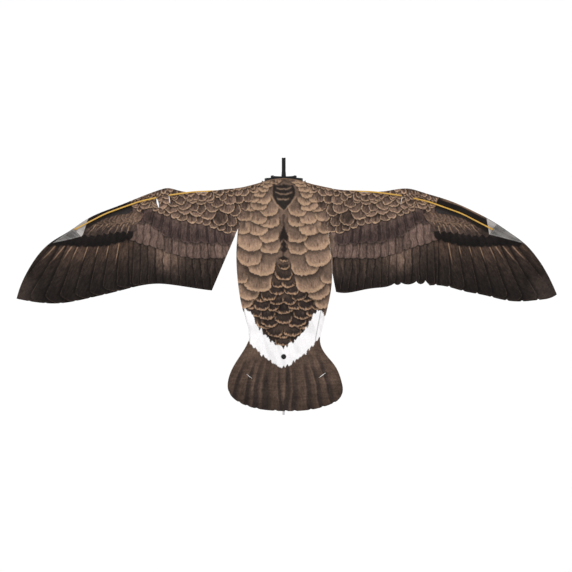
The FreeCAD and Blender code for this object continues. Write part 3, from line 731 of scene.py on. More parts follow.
def triangulated(loop, holes, spacing):
    """Even triangles filling a loop, as flat points and faces."""
    xs, ys = np.array([p[0] for p in loop]), np.array([p[1] for p in loop])
    row = spacing * math.sqrt(3) / 2
    rows = np.arange(math.floor(ys.min() / row), math.ceil(ys.max() / row) + 1)
    columns = np.arange(math.floor(xs.min() / spacing), math.ceil(xs.max() / spacing) + 1)
    gx = (columns[None, :] + 0.5 * (rows[:, None] % 2)) * spacing
    gy = np.repeat(rows[:, None] * row, len(columns), axis=1)
    gx, gy = gx.ravel(), gy.ravel()
    keep = inside(gx, gy, loop)
    gx, gy = gx[keep], gy[keep]
    clear = distance_to(gx, gy, sides_of(loop)) > 0.55 * spacing
    for hole in holes:
        clear &= (distance_to(gx, gy, sides_of(hole)) > 0.55 * spacing) & ~inside(gx, gy, hole)
    points, edges = [], []
    for ring in [loop] + holes:
        first = len(points)
        points += [Vector(p) for p in ring]
        edges += [(first + i, first + (i + 1) % len(ring)) for i in range(len(ring))]
    points += [Vector(p) for p in zip(gx[clear], gy[clear])]
    made = delaunay_2d_cdt(points, edges, [], 1, 1e-5)
    flat = np.array([tuple(v) for v in made[0]])
    faces = np.array([f for f in made[2] if len(f) == 3])
    for hole in holes:
        middle = flat[faces].mean(axis=1)
        faces = faces[~inside(middle[:, 0], middle[:, 1], hole)]
    a, b, c = (flat[faces[:, k]] for k in range(3))
    turn = (b[:, 0] - a[:, 0]) * (c[:, 1] - a[:, 1]) - (b[:, 1] - a[:, 1]) * (c[:, 0] - a[:, 0])
    faces[turn < 0] = faces[turn < 0][:, ::-1]
    return flat, faces


def with_back(top, faces, thickness):
    """The sheet given a thin underside and a closed rim; returns points, faces and how many are on top."""
    count = len(top)
    a, b, c = (top[faces[:, k]] for k in range(3))
    face_normals = np.cross(b - a, c - a)
    normals = np.zeros_like(top)
    for k in range(3):
        np.add.at(normals, faces[:, k], face_normals)
    normals /= np.maximum(np.linalg.norm(normals, axis=1), 1e-12)[:, None]
    under = top - normals * thickness
    upper = faces.tolist()
    directed = dict.fromkeys(edge for face in upper for edge in zip(face, face[1:] + face[:1]))
    rim = [(i, j, j + count, i + count) for j, i in directed if (i, j) not in directed]
    lower = [(i + count, k + count, j + count) for i, j, k in upper]
    return np.vstack([top, under]), upper + lower + rim, len(upper)


def ring_faces(rings, sides):
    """Faces between rings of points, each ring closed on itself."""
    faces = []
    for i in range(rings - 1):
        for j in range(sides):
            k = (j + 1) % sides
            faces.append((i * sides + j, i * sides + k, (i + 1) * sides + k, (i + 1) * sides + j))
    return faces


def tube(path, radius, sides=12, up=(0, 0, 1), flat=1.0):
    """A round or flattened bar along a path, closed at both ends."""
    path = np.asarray(path, float)
    radius = np.broadcast_to(radius, len(path))
    ahead = np.gradient(path, axis=0)
    ahead /= np.linalg.norm(ahead, axis=1)[:, None]
    side = np.cross(ahead, up)
    side /= np.linalg.norm(side, axis=1)[:, None]
    top = np.cross(side, ahead)
    turns = np.arange(sides) * 2 * math.pi / sides
    outwards = np.cos(turns)[None, :, None] * side[:, None, :]
    upwards = flat * np.sin(turns)[None, :, None] * top[:, None, :]
    points = (path[:, None, :] + radius[:, None, None] * (outwards + upwards)).reshape(-1, 3)
    faces = [(a, d, c, b) for a, b, c, d in ring_faces(len(path), sides)]
    last = (len(path) - 1) * sides
    faces.append(tuple(range(sides)))
    faces.append(tuple(last + j for j in reversed(range(sides))))
    return points, faces


def turned(profile, centre, along=(0, 0, 1), sides=40):
    """A shape turned round an axis through centre, from (radius, height) places that start and end on it."""
    axis = Vector(along)
    across = axis.orthogonal().normalized()
    other = axis.cross(across)
    points = []
    for radius, height in profile:
        for j in range(sides):
            turn = 2 * math.pi * j / sides
            offset = across * radius * math.cos(turn) + other * radius * math.sin(turn) + axis * height
            points.append(tuple(Vector(centre) + offset))
    return points, ring_faces(len(profile), sides)


def grid(rows, keep=None):
    """Points and faces of a rectangular net of places, all rows the same length."""
    rows = np.asarray(rows, float)
    tall, wide = rows.shape[:2]
    faces = []
    for i in range(tall - 1):
        for j in range(wide - 1):
            if keep is None or keep[i, j]:
                a = i * wide + j
                faces.append((a, a + 1, a + wide + 1))
                faces.append((a, a + wide + 1, a + wide))
    return rows.reshape(-1, 3), np.array(faces)


class Shape:
    """Points, faces, material slots and print colours gathered for one piece, in millimetres."""

    def __init__(self):
        self.points, self.faces, self.slots, self.colours = [], [], [], []
        self.count = 0

    def add(self, points, faces, slot, colours=None):
        """Adds a closed form in one slot, or in a slot for each face."""
        points = np.asarray(points, float)
        self.points.append(points)
        self.colours.append(np.full((len(points), 3), 120.0) if colours is None else colours)
        self.faces += [tuple(i + self.count for i in face) for face in faces]
        self.slots += [slot] * len(faces) if np.isscalar(slot) else slot
        self.count += len(points)

    def add_sheet(self, top, faces, thickness, under=0, colours=None):
        """Adds a thin sheet below the given top, in slot 0 but for its underside."""
        points, all_faces, shown = with_back(top, faces, thickness)
        slots = [0] * shown + [under] * shown + [0] * (len(all_faces) - 2 * shown)
        self.add(points, all_faces, slots, None if colours is None else np.vstack([colours, colours]))

    def build(self, name, materials):
        """A smooth object with the print stored as a colour for each point."""
        mesh = bpy.data.meshes.new(name)
        mesh.from_pydata([tuple(p) for p in np.vstack(self.points) * MM], [], self.faces)
        for material in materials:
            mesh.materials.append(material)
        mesh.polygons.foreach_set("material_index", self.slots)
        mesh.polygons.foreach_set("use_smooth", [True] * len(mesh.polygons))
        mesh.update()
        attribute = mesh.color_attributes.new("print", "FLOAT_COLOR", "POINT")
        rgba = np.ones((self.count, 4))
        rgba[:, :3] = linear(np.vstack(self.colours))
        attribute.data.foreach_set("color", rgba.ravel())
        obj = bpy.data.objects.new(name, mesh)
        bpy.context.scene.collection.objects.link(obj)
        return obj


def joined_to(obj):
    """Bakes a piece's placement into its points."""
    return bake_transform(obj)


def placed(shape, name, materials, node=None, body="body"):
    """Builds a gathered piece that moves with one body, in the place of a CAD node if it has one."""
    piece = shape.build(name, materials)
    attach(piece, body)
    if node:
        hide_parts(node)
    return piece


# ---------------------------------------------------------------- materials

class Graph:
    """A short way to build one node material."""

    def __init__(self, name):
        self.material = bpy.data.materials.new(name)
        self.material.use_nodes = True
        self.tree = self.material.node_tree
        self.shader = self.tree.nodes["Principled BSDF"]

    def node(self, kind, **values):
        """A new node with some of its settings."""
        made = self.tree.nodes.new(kind)
        for key, value in values.items():
            setattr(made, key, value)
        return made

    def link(self, source, target):
        self.tree.links.new(source, target)

    def put(self, socket, value):
        """Feeds a socket from another one, or sets it to a constant."""
        if isinstance(value, bpy.types.NodeSocket):
            self.link(value, socket)
        else:
            socket.default_value = value

    def set(self, **values):
        """Inputs of the material's own shader, with _ for the blanks in their names."""
        for key, value in values.items():
            self.put(self.shader.inputs[key.replace("_", " ")], value)

    def position(self):
        """Places on the object, in metres."""
        return self.node("ShaderNodeTexCoord").outputs["Object"]

    def scaled(self, source, x, y, z):
        """Places stretched differently along each axis."""
        made = self.node("ShaderNodeMapping")
        self.link(source, made.inputs["Vector"])
        made.inputs["Scale"].default_value = (x, y, z)
        return made.outputs["Vector"]

    def noise(self, source, scale, detail=3.0, roughness=0.55):
        made = self.node("ShaderNodeTexNoise")
        self.link(source, made.inputs["Vector"])
        made.inputs["Scale"].default_value = scale
        made.inputs["Detail"].default_value = detail
        made.inputs["Roughness"].default_value = roughness
        return made.outputs["Fac"]

    def wave(self, source, scale, direction):
        """Bands across one axis, a little uneven."""
        made = self.node("ShaderNodeTexWave", bands_direction=direction)
        self.link(source, made.inputs["Vector"])
        made.inputs["Scale"].default_value = scale
        made.inputs["Distortion"].default_value = 0.25
        made.inputs["Detail Scale"].default_value = 1.5
        return made.outputs["Fac"]

    def math(self, operation, a, b):
        made = self.node("ShaderNodeMath", operation=operation)
        self.put(made.inputs[0], a)
        self.put(made.inputs[1], b)
        return made.outputs[0]

    def remap(self, source, low, high, new_low, new_high):
        """The values from low to high spread over a new range."""
        made = self.node("ShaderNodeMapRange")
        self.link(source, made.inputs["Value"])
        for key, value in zip(("From Min", "From Max", "To Min", "To Max"), (low, high, new_low, new_high)):
            made.inputs[key].default_value = value
        return made.outputs["Result"]

    def mixed(self, factor, a, b, blend="MIX"):
        """Two colours mixed, from all of a at factor 0."""
        made = self.node("ShaderNodeMix", data_type="RGBA", blend_type=blend)
        for socket, value in zip((made.inputs[0], made.inputs[6], made.inputs[7]), (factor, a, b)):
            self.put(socket, value)
        return made.outputs[2]

    def bump(self, height, strength, distance):
        """Fine relief on the surface."""
        made = self.node("ShaderNodeBump")
        self.link(height, made.inputs["Height"])
        made.inputs["Strength"].default_value = strength
        made.inputs["Distance"].default_value = distance
        self.link(made.outputs["Normal"], self.shader.inputs["Normal"])


def rgb(colour):
    """An sRGB colour for a shader socket."""
    return tuple(float(c) for c in linear(np.array(colour, float))) + (1.0,)


def woven(graph, place, threads_per_m):
    """Height of a plain weave: threads along X and Y that pass over and under each other."""
    warp = graph.wave(place, threads_per_m / TURN, "X")
    weft = graph.wave(place, threads_per_m / TURN, "Y")
    return graph.math("ADD", warp, weft)


def cloth_material(name, colour=None, fade=0.0, roughness=0.85):
    """Woven polyester, printed unless it has a colour of its own; fade bleaches the print, as underneath."""
    g = Graph(name)
    place = g.position()
    if colour is None:
        base = g.node("ShaderNodeAttribute", attribute_name="print").outputs["Color"]
    else:
        base = g.mixed(g.noise(place, 9.0), rgb([c * 0.96 for c in colour]), rgb([c * 1.03 for c in colour]))
    if fade:
        base = g.mixed(fade, base, rgb((196, 188, 180)))
    weave = woven(g, place, 2200)
    tone = g.remap(g.noise(place, 420.0, 2.0, 0.7), 0.3, 0.7, 0.90, 1.10)
    threads = g.remap(weave, 0.0, 2.0, 0.94, 1.06)
    soil = g.remap(g.noise(place, 5.5, 4.0, 0.6), 0.35, 0.7, 1.03, 0.95)
    tone = g.math("MULTIPLY", g.math("MULTIPLY", tone, threads), soil)
    grey = g.node("ShaderNodeCombineColor")
    for k in range(3):
        g.link(tone, grey.inputs[k])
    base = g.mixed(1.0, base, grey.outputs["Color"], "MULTIPLY")
    g.set(Base_Color=base, Sheen_Weight=0.03, Sheen_Roughness=0.5, Specular_IOR_Level=0.08)
    g.set(Roughness=g.remap(g.noise(place, 60.0), 0.3, 0.7, roughness - 0.07, roughness + 0.07))
    g.bump(g.math("ADD", weave, g.noise(place, 900.0, 1.0)), 0.35, 0.00012)
    return g.material


def fibre_material():
    """Yellow pultruded glass fibre with fine lengthwise streaks under a slight gloss."""
    g = Graph("glass_fibre_rod")
    place = g.position()
    streak = g.noise(g.scaled(place, 8.0, 900.0, 900.0), 1.0, 4.0, 0.7)
    patch = g.noise(place, 24.0)
    base = g.mixed(streak, rgb((176, 128, 34)), rgb((222, 178, 74)))
    base = g.mixed(g.remap(patch, 0.4, 0.75, 0.0, 0.35), base, rgb((150, 106, 40)))
    g.set(Base_Color=base, Coat_Weight=0.3, Coat_Roughness=0.2)
    g.set(Roughness=g.remap(streak, 0.3, 0.7, 0.28, 0.42))
    g.bump(streak, 0.3, 0.0001)
    return g.material


def plastic_material(name, colour, roughness=0.42):
    """Moulded plastic with fine grain, handling marks and slightly lighter rubbed patches."""
    g = Graph(name)
    place = g.position()
    fine = g.noise(place, 700.0, 3.0, 0.6)
    rub = g.remap(g.noise(place, 60.0, 5.0, 0.65), 0.52, 0.75, 0.0, 0.4)
    light = rgb([c * 1.6 + 8 for c in colour])
    g.set(Base_Color=g.mixed(rub, rgb(colour), light), Specular_IOR_Level=0.22)
    g.set(Roughness=g.remap(g.noise(place, 130.0, 4.0), 0.3, 0.7, roughness - 0.1, roughness + 0.12))
    g.bump(fine, 0.25, 0.0002)
    return g.material


def metal_material():
    """Zinc-plated steel with fine brushed scratches."""
    g = Graph("zinc_steel")
    place = g.position()
    scratch = g.noise(g.scaled(place, 1400.0, 120.0, 300.0), 1.0, 3.0)
    g.set(Base_Color=g.mixed(scratch, rgb((110, 110, 112)), rgb((168, 168, 170))), Metallic=1.0)
    g.set(Roughness=g.remap(scratch, 0.3, 0.7, 0.28, 0.5))
    g.bump(scratch, 0.2, 0.00005)
    return g.material


def vinyl_material():
    """Milky soft vinyl."""
    g = Graph("milky_vinyl")
    place = g.position()
    cloud = g.noise(place, 260.0, 2.0)
    g.set(Base_Color=g.mixed(cloud, rgb((198, 198, 196)), rgb((232, 232, 230))), Transmission_Weight=0.35,
          Subsurface_Weight=0.1, IOR=1.45)
    g.set(Roughness=g.remap(cloud, 0.3, 0.7, 0.22, 0.38))
    g.bump(cloud, 0.1, 0.0002)
    return g.material


def ripstop_material(name, light, dark):
    """Grey coated ripstop: a fine weave with a grid of heavier threads, and bumped creases whose light and
    shade are painted into the colour.
    """
    g = Graph(name)
    place = g.position()
    mapping = g.node("ShaderNodeMapping")
    g.link(place, mapping.inputs["Vector"])
    mapping.inputs["Rotation"].default_value = (0, 0, 0.5)
    slanted = mapping.outputs["Vector"]
    threads = woven(g, slanted, 1500)
    heavy_threads = woven(g, slanted, 260)
    crease = g.noise(g.scaled(slanted, 22.0, 120.0, 22.0), 1.0, 4.0, 0.7)
    # Painted light and shade of the creases: the colour runs from the shaded grey to the lit grey along
    # them.
    base = g.mixed(g.remap(crease, 0.3, 0.7, 0.0, 1.0), rgb(dark), rgb(light))
    base = g.mixed(g.remap(heavy_threads, 1.5, 2.0, 0.0, 0.35), base, rgb([c * 0.7 for c in dark]))
    g.set(Base_Color=base, Roughness=g.remap(crease, 0.3, 0.7, 0.45, 0.65), Specular_IOR_Level=0.2)
    g.bump(g.math("ADD", threads, g.math("MULTIPLY", crease, 3.0)), 0.4, 0.0002)
    return g.material


def floor_material():
    """Very pale, slightly uneven matt white."""
    g = Graph("pale_floor")
    patch = g.noise(g.position(), 0.8)
    g.set(Base_Color=g.mixed(patch, rgb((250, 250, 250)), rgb((252, 252, 252))), Roughness=0.9)
    return g.material


PRINTED = cloth_material("printed_cloth_top")
PRINT_BACK = cloth_material("printed_cloth_under", fade=0.38)
BELLY_TOP = cloth_material("belly_cloth")
BELLY_BACK = cloth_material("belly_cloth_inside", fade=0.3)
TAPE = cloth_material("binding_tape", colour=(112, 90, 72), roughness=0.75)
THREAD = cloth_material("stitching_thread", colour=(70, 56, 47), roughness=0.6)
PALE_THREAD = cloth_material("pale_thread", colour=(206, 200, 196), roughness=0.6)
# Each ripstop is given its lit and its shaded grey; its creases' painted light and shade run between them.
RIPSTOP_LIGHT = ripstop_material("ripstop_base", (186, 181, 177), (142, 137, 134))
RIPSTOP_DARK = ripstop_material("ripstop_pocket", (128, 125, 122), (62, 60, 59))
FIBRE = fibre_material()
AMBER = plastic_material("amber_vinyl", (178, 136, 58), 0.3)
BLACK = plastic_material("black_moulding", (11, 10, 11))
RUBBER = plastic_material("black_snap", (15, 14, 14), 0.35)
METAL = metal_material()
VINYL = vinyl_material()


# ---------------------------------------------------------------- hems, slits and stitches

# Width of a folded hem, and the length, repeat and depth from the edge of its stitches
HEM = 5.5
STITCH = 2.7
STITCH_GAP = 3.7
STITCH_DEPTH = HEM - 1.6

# Where the side of the body leaves the wing's root
ARMPIT_Y = -209.0


def stitches(shape, x, y, heading, height, slot, length=STITCH, radius=0.32):
    """Single stitches lying on the cloth, each a grain with pointed ends sunk into it."""
    for px, py, turn, pz in zip(x, y, heading, height):
        dx, dy = math.cos(turn), math.sin(turn)
        path = [(px + dx * length * t, py + dy * length * t, pz + radius * rise)
                for t, rise in ((-0.5, -0.8), (-0.25, 0.5), (0.25, 0.5), (0.5, -0.8))]
        shape.add(*tube(path, [0.12, radius, radius, 0.12], 5), slot)


def is_joined(x, y):
    """True on the hinge lines, where one cloth piece runs on into the next."""
    near_wrist = np.abs(np.abs(x) - WRIST_X) < 4
    near_shoulder = (np.abs(np.abs(x) - SHOULDER_X) < 4) & (y > ARMPIT_Y - 1)
    return near_wrist | near_shoulder


def inset_line(loop, depth, step):
    """Places every step along a loop, moved inwards by depth, and which way the line runs there."""
    ring = np.array(loop + [loop[0]], float)
    at = np.concatenate([[0], np.cumsum(np.hypot(*np.diff(ring, axis=0).T))])
    s = np.arange(0.5 * step, at[-1], step)
    x, y = (np.interp(s, at, ring[:, axis]) for axis in (0, 1))
    before, after = (s - 3.0) % at[-1], (s + 3.0) % at[-1]
    dx, dy = (np.interp(after, at, ring[:, axis]) - np.interp(before, at, ring[:, axis]) for axis in (0, 1))
    size = np.hypot(dx, dy)
    inwards = math.copysign(depth, signed_area(loop))
    x, y = x - dy / size * inwards, y + dx / size * inwards
    keep = (distance_to(x, y, sides_of(loop)) > 0.8 * depth) & inside(x, y, loop) & ~is_joined(x, y)
    return x[keep], y[keep], np.arctan2(dy, dx)[keep]


def hem_height(x, y, loop):
    """Cloth height with its folded hem standing a little higher along every cut edge."""
    cut = [(a, b) for a, b in sides_of(loop)
           if abs(a[0] - b[0]) >= 0.02 or not (is_joined(*a) and is_joined(*b))]
    pucker = 0.10 * np.sin((x + 0.7 * y) * 1.6)
    return cloth_height(x, y) + (0.42 + pucker) * smooth((HEM - distance_to(x, y, cut)) / 1.4)


def tucked(loop):
    """Below the armpit the right wing's root edge runs in against the side of the body."""
    low, high = -340, ARMPIT_Y + 0.1
    body = sorted((y, x) for x, y in BACK_EDGE if 90 < x < SHOULDER_X - 0.5 and low < y < high)
    ys, xs = [p[0] for p in body], [p[1] for p in body]
    result = []
    for (xa, ya), (xb, yb) in sides_of(loop):
        result.append((xa, ya))
        if abs(xa - xb) < 0.02 and abs(xa - SHOULDER_X) < 0.6 and min(ya, yb) < ARMPIT_Y < max(ya, yb):
            levels = [ARMPIT_Y - 0.15] + list(np.arange(ARMPIT_Y - 4, min(ya, yb) + 1, -4.0))
            run = [(SHOULDER_X, ARMPIT_Y)] + [(float(np.interp(y, ys, xs)) + 0.2, float(y)) for y in levels]
            result += run if ya > yb else run[::-1]
    return result


def tail_notched(loop):
    """Shallow nicks in the tail's rear edge between its printed feathers."""
    result = []
    for x, y in loop:
        if y < -655:
            heading = math.degrees(math.atan2(x + 2, TAIL_APEX - y))
            nicks = [math.exp(-((heading - centre + half) / 0.55) ** 2) for centre, half in TAIL_WEDGES]
            y += 2.4 * max(nicks)
        result.append((x, y))
    return result


def wing_notched(loop, side):
    """Small nicks in the trailing edge of the hand, where the printed feathers' tips meet."""
    depth = 3.4 if side > 0 else 1.6
    tips = [tip for _, tip in PRIMARIES]
    gaps = [(a + b) / 2 for a, b in zip(tips, tips[1:])]
    result = []
    for x, y in loop:
        if 408 < abs(x) < 745 and y < trailing_edge(abs(x)) + 14:
            y += depth * max(math.exp(-((abs(x) - gap) / 2.6) ** 2) for gap in gaps)
        result.append((x, y))
    return result


def panel_edge(name, node, side):
    """A panel's cut edge: that of its CAD sheet, with the nicks and the tucked root edge of real cloth."""
    loop = outer_edge(node)
    if signed_area(loop) < 0:
        loop = loop[::-1]
    if name == "right_wing_cloth":
        loop = tucked(loop)
    if "tip" in name:
        loop = wing_notched(resampled(loop, 2.0), side)
    if not side:
        loop = tail_notched(resampled(loop, 2.0))
    return loop


def hem_stitches(shape, loop):
    """One line of stitches along the hem, pale where the print is white."""
    x, y, heading = inset_line(loop, STITCH_DEPTH, STITCH_GAP)
    level = hem_height(x, y, loop)
    white = print_colours(x, y).mean(axis=1) > 180
    for where, slot in ((white, 3), (~white, 2)):
        stitches(shape, x[where], y[where], heading[where], level[where], slot)


def slit_ends(shape, slit):
    """Five close stitches across each end of a slit, which keep it from tearing."""
    for end in (0, len(slit) // 2):
        (ex, ey), (ox, oy) = slit[end], slit[(end + 2) % len(slit)]
        away = math.atan2(ey - oy, ex - ox)
        reach = 0.8 + np.arange(-2, 3) * 0.55
        x, y = ex + math.cos(away) * reach, ey + math.sin(away) * reach
        stitches(shape, x, y, [away + math.pi / 2] * 5, cloth_height(x, y), 2, 3.4, 0.3)


def cloth_piece(name, node, side, slits, spacing):
    """One printed panel of the decoy's upper side, with its folded and stitched hems; returns its edge."""
    edge = panel_edge(name, node, side)
    flat, faces = triangulated(resampled(edge, spacing), slits, spacing)
    x, y = flat[:, 0], flat[:, 1]
    shape = Shape()
    shape.add_sheet(np.column_stack([x, y, hem_height(x, y, edge)]), faces, CLOTH, 1, print_colours(x, y))
    hem_stitches(shape, edge)
    for slit in slits:
        slit_ends(shape, slit)
    piece = shape.build(name, [PRINTED, PRINT_BACK, THREAD, PALE_THREAD])
    if side:
        joined_to(piece)
    else:
        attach(piece, "body")
    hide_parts(node)
    return edge


# ---------------------------------------------------------------- the printed panels

TAIL_SLITS = [lens((-105, -608), (-88, -623), 1.0), lens((98, -620), (119, -604.5), 1.5)]
BACK_EDGE = cloth_piece("back_cloth", "back_sheet", 0, TAIL_SLITS, BACK_NET)
TIP_EDGES = {}
for word, side in SIDES:
    marks = [(side * px, py) for px, py in SLITS[side]]
    slits = [lens(*ends, width) for ends, width in zip((marks[:2], marks[2:]), SLIT_WIDTHS[side])]
    cloth_piece(word + "_wing_cloth", word + "_wing_sheet", side, slits, WING_NET)
    TIP_EDGES[side] = cloth_piece(word + "_tip_cloth", word + "_tip_sheet", side, [], WING_NET)


def neck_piping():
    """Narrow tan tape folded over the cloth's edge across the neck and along to the wing roots."""
    front = sorted({p for p in BACK_EDGE if p[1] > -89.5 and abs(p[0]) < SHOULDER_X + 0.1})
    xs = np.arange(front[0][0] + 1, front[-1][0] - 1, 3.0)
    ys = np.interp(xs, [p[0] for p in front], [p[1] for p in front])
    path = np.column_stack([xs, ys - 0.4, cloth_height(xs, ys) + 0.1])
    shape = Shape()
    shape.add(*tube(path, 1.15, 10, flat=0.8), 0)
    placed(shape, "neck_piping", [TAPE])


neck_piping()


# ---------------------------------------------------------------- spars

def eased(points, step=3.0, window=36.0):
    """A route cut to even steps with its bends rounded."""
    points = np.array(points, float)
    at = np.concatenate([[0], np.cumsum(np.linalg.norm(np.diff(points, axis=0), axis=1))])
    s = np.linspace(0, at[-1], round(at[-1] / step) + 1)
    fine = np.column_stack([np.interp(s, at, points[:, k]) for k in range(3)])
    half = round(window / step / 2)
    before = 2 * fine[0] - fine[half:0:-1]
    after = 2 * fine[-1] - fine[-2:-half - 2:-1]
    longer = np.vstack([before, fine, after])
    kernel = np.ones(2 * half + 1) / (2 * half + 1)
    return np.column_stack([np.convolve(longer[:, k], kernel, "valid") for k in range(3)])


def spar_line(side):
    """One spar's rounded centre line."""
    return eased([(side * x, y, z) for x, y, z in SPAR_ROUTE])


def spar_piece(name, side, near, far, nodes):
    """A stretch of one round rod, from near to far outwards."""
    line = spar_line(side)
    reach = np.abs(line[:, 0])
    xs = np.concatenate([[near, near + 0.5], np.arange(near + 2, far - 1, 3.0), [far]])
    radius = np.full(len(xs), SPAR_R)
    radius[0] = SPAR_R - 0.4
    path = np.column_stack([side * xs, np.interp(xs, reach, line[:, 1]), np.interp(xs, reach, line[:, 2])])
    shape = Shape()
    shape.add(*tube(path, radius, 20), 0)
    piece = shape.build(name, [FIBRE])
    joined_to(piece)
    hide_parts(*nodes)


SPAR_END = 587.5
for word, side in SIDES:
    spar_piece(word + "_spar_inner", side, 3.0, WRIST_X, [word + "_spar_root", word + "_spar_mid"])
    spar_piece(word + "_spar_outer", side, WRIST_X, SPAR_END, [word + "_spar_tip"])


# ---------------------------------------------------------------- tip patches and pockets

# The line of each pocket's mouth across its patch, and the thickness of a patch on the cloth
POCKET_MOUTHS = {1: ((600, -186), (579, -216)), -1: ((592, -198), (570, -223))}
PATCH = 0.4


def clipped(loop, start, end):
    """The part of a loop on the left of the line from start to end."""
    (xa, ya), (xb, yb) = start, end
    heights = [(xb - xa) * (y - ya) - (yb - ya) * (x - xa) for x, y in loop]
    result = []
    for i, (x, y) in enumerate(loop):
        j = (i + 1) % len(loop)
        if heights[i] >= 0:
            result.append((x, y))
        if (heights[i] >= 0) != (heights[j] >= 0):
            t = heights[i] / (heights[i] - heights[j])
            result.append((x + t * (loop[j][0] - x), y + t * (loop[j][1] - y)))
    return result


def reinforcement(name, loop, body, height, material, node):
    """A ripstop panel sewn down near its edge; height gives its top face."""
    if signed_area(loop) < 0:
        loop = loop[::-1]
    flat, faces = triangulated(resampled(loop, PATCH_NET), [], PATCH_NET)
    x, y = flat[:, 0], flat[:, 1]
    shape = Shape()
    shape.add_sheet(np.column_stack([x, y, height(x, y)]), faces, 0.3)
    sx, sy, heading = inset_line(loop, 2.6, 2.9)
    stitches(shape, sx, sy, heading, height(sx, sy), 1, 2.1, 0.26)
    piece = placed(shape, name, [material, PALE_THREAD], node, body)


def crumple(x, y, size):
    """Uneven creases up to about size high."""
    return size * (noise(x + 0.6 * y, y, 9, 301) - 0.5) + 0.5 * size * (noise(x, y, 3.5, 302) - 0.5)


def tip_cover(word, side):
    """The patch on the wing tip's cloth, and the pocket on the patch that takes the rod's end."""
    patch_node, body = word + "_tip_patch", word + "_wing_tip"
    outline = outer_edge(patch_node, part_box(patch_node)[1][2] / MM)
    line = spar_line(side)
    end_x, end_y, end_z = line[-1]
    ahead = line[-1][:2] - line[-6][:2]
    ahead = ahead / np.hypot(*ahead)

    def patch_height(x, y):
        return hem_height(x, y, TIP_EDGES[side]) + PATCH + crumple(x, y, 0.25)

    def pocket_height(x, y):
        base = patch_height(x, y) + PATCH + crumple(x, y, 0.5)
        along = (x - end_x) * ahead[0] + (y - end_y) * ahead[1]
        aside = np.abs((x - end_x) * ahead[1] - (y - end_y) * ahead[0])
        return base + (end_z + 3.4 - base) * smooth(1 - aside / 12.5) * smooth((26 - along) / 20)

    reinforcement(word + "_patch_cloth", outline, body, patch_height, RIPSTOP_LIGHT, patch_node)
    mouth = [(side * x, y) for x, y in POCKET_MOUTHS[side]]
    pocket = clipped(outline, *(mouth if side > 0 else mouth[::-1]))
    reinforcement(word + "_pocket_cloth", pocket, body, pocket_height, RIPSTOP_DARK, word + "_tip_pocket")


for word, side in SIDES:
    tip_cover(word, side)


# ---------------------------------------------------------------- wind-filled belly

# Distance back, half width, depth and squareness of the belly's cross-section
BELLY = [(-66, 58, 78, 3.0), (-100, 80, 90, 2.6), (-150, 108, 96, 2.3), (-209, 124, 96, 2.2),
         (-310, 130, 90, 2.2), (-390, 124, 72, 2.2), (-455, 105, 44, 2.3), (-510, 94, 16, 2.6)]
# Each gore's stretch of the way round the belly, in degrees; 180 and 0 are the seams with the back sheet
GORES = {"left": (180.0, 128.0), "centre": (128.0, 52.0), "right": (52.0, 0.0)}
SEAM_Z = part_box("belly_gore_left")[1][2] / MM
MOUTH_Y = -67.0


def belly_section(y):
    """Half width, depth and squareness at a distance back, eased between the stations."""
    ys = [row[0] for row in reversed(BELLY)]
    offsets = np.linspace(-14, 14, 9)
    values = []
    for k in (1, 2, 3):
        sizes = [row[k] for row in reversed(BELLY)]
        near = [np.interp(np.clip(y + o, ys[0], ys[-1]), ys, sizes) for o in offsets]
        values.append(np.mean(near, axis=0))
    return values


def belly_place(y, degrees, inset):
    """A place on the belly's surface, or inset from it."""
    half, depth, square = belly_section(y)
    angle = np.radians(degrees)
    across = np.sign(np.cos(angle)) * np.abs(np.cos(angle)) ** (2 / square)
    down = np.abs(np.sin(angle)) ** (2 / square)
    return np.stack([(half - inset) * across, y + 0 * across, SEAM_Z - (depth - inset) * down], axis=-1)


def belly_colours(s, y):
    """Pale scalloped breast that turns white towards the vent; s runs round the belly."""
    p = Print(s, y)
    p.fill(BELLY_ROOT)
    for row in range(15):
        for k in range(-6, 7):
            place = (k + 0.5 * (row % 2)) * 34 + 6 * (hashed(k, row, 401) - 0.5)
            p.feather((place, -452 + row * 27), 20, 44, tip_colour=BELLY_TIP, root_colour=BELLY_ROOT,
                      rim=BELLY_RIM, rim_width=6.0, round_by=0.7, jag=2.0, streak=0.14, shadow=0.86,
                      seed=400 + 13 * row + k)
    ragged = 16 * (noise(s, 0 * y, 8, 402) - 0.5)
    p.mix(smooth((-446 + ragged - y) / 12), RUMP_WHITE)
    return p.colour


def gore_net(word, y, angle):
    """Places on one gore, with its soft folds, puckered seams and the edge sewn up to the back sheet."""
    first, last = GORES[word]
    to_seam = np.minimum(np.abs(angle - first), np.abs(angle - last)) * 1.9
    seam = np.exp(-(to_seam / 7) ** 2)
    slack = smooth(to_seam / 18) * smooth((-70 - y) / 40) * smooth((y + 508) / 40)
    folds = 1.6 * np.sin(angle * 0.42 + 1.5 * np.sin(y / 70)) + 1.3 * noise(angle * 2, y, 46, 410)
    pucker = 0.55 * np.sin(y / 2.3) + 0.5 * np.sin(y / 5.1 + angle)
    net = belly_place(y, angle, 0.4 + folds * slack * 0.8 + (0.9 + pucker) * seam * smooth((-68 - y) / 6))
    upper_seam = {"left": first, "centre": math.inf, "right": last}[word]
    sewn = smooth(1 - np.abs(angle - upper_seam) / 6)
    under = cloth_height(net[..., 0].ravel(), net[..., 1].ravel()).reshape(y.shape) - CLOTH - 0.12
    net[..., 2] = net[..., 2] + (under - SEAM_Z) * sewn
    return net


def spar_doorway(net):
    """True for the squares of a side gore's net that are cut away where the spar comes out."""
    y, z = net[:-1, :-1, 1], net[:-1, :-1, 2]
    return (y < -86) & (y > -101.5) & (z > -1.5)


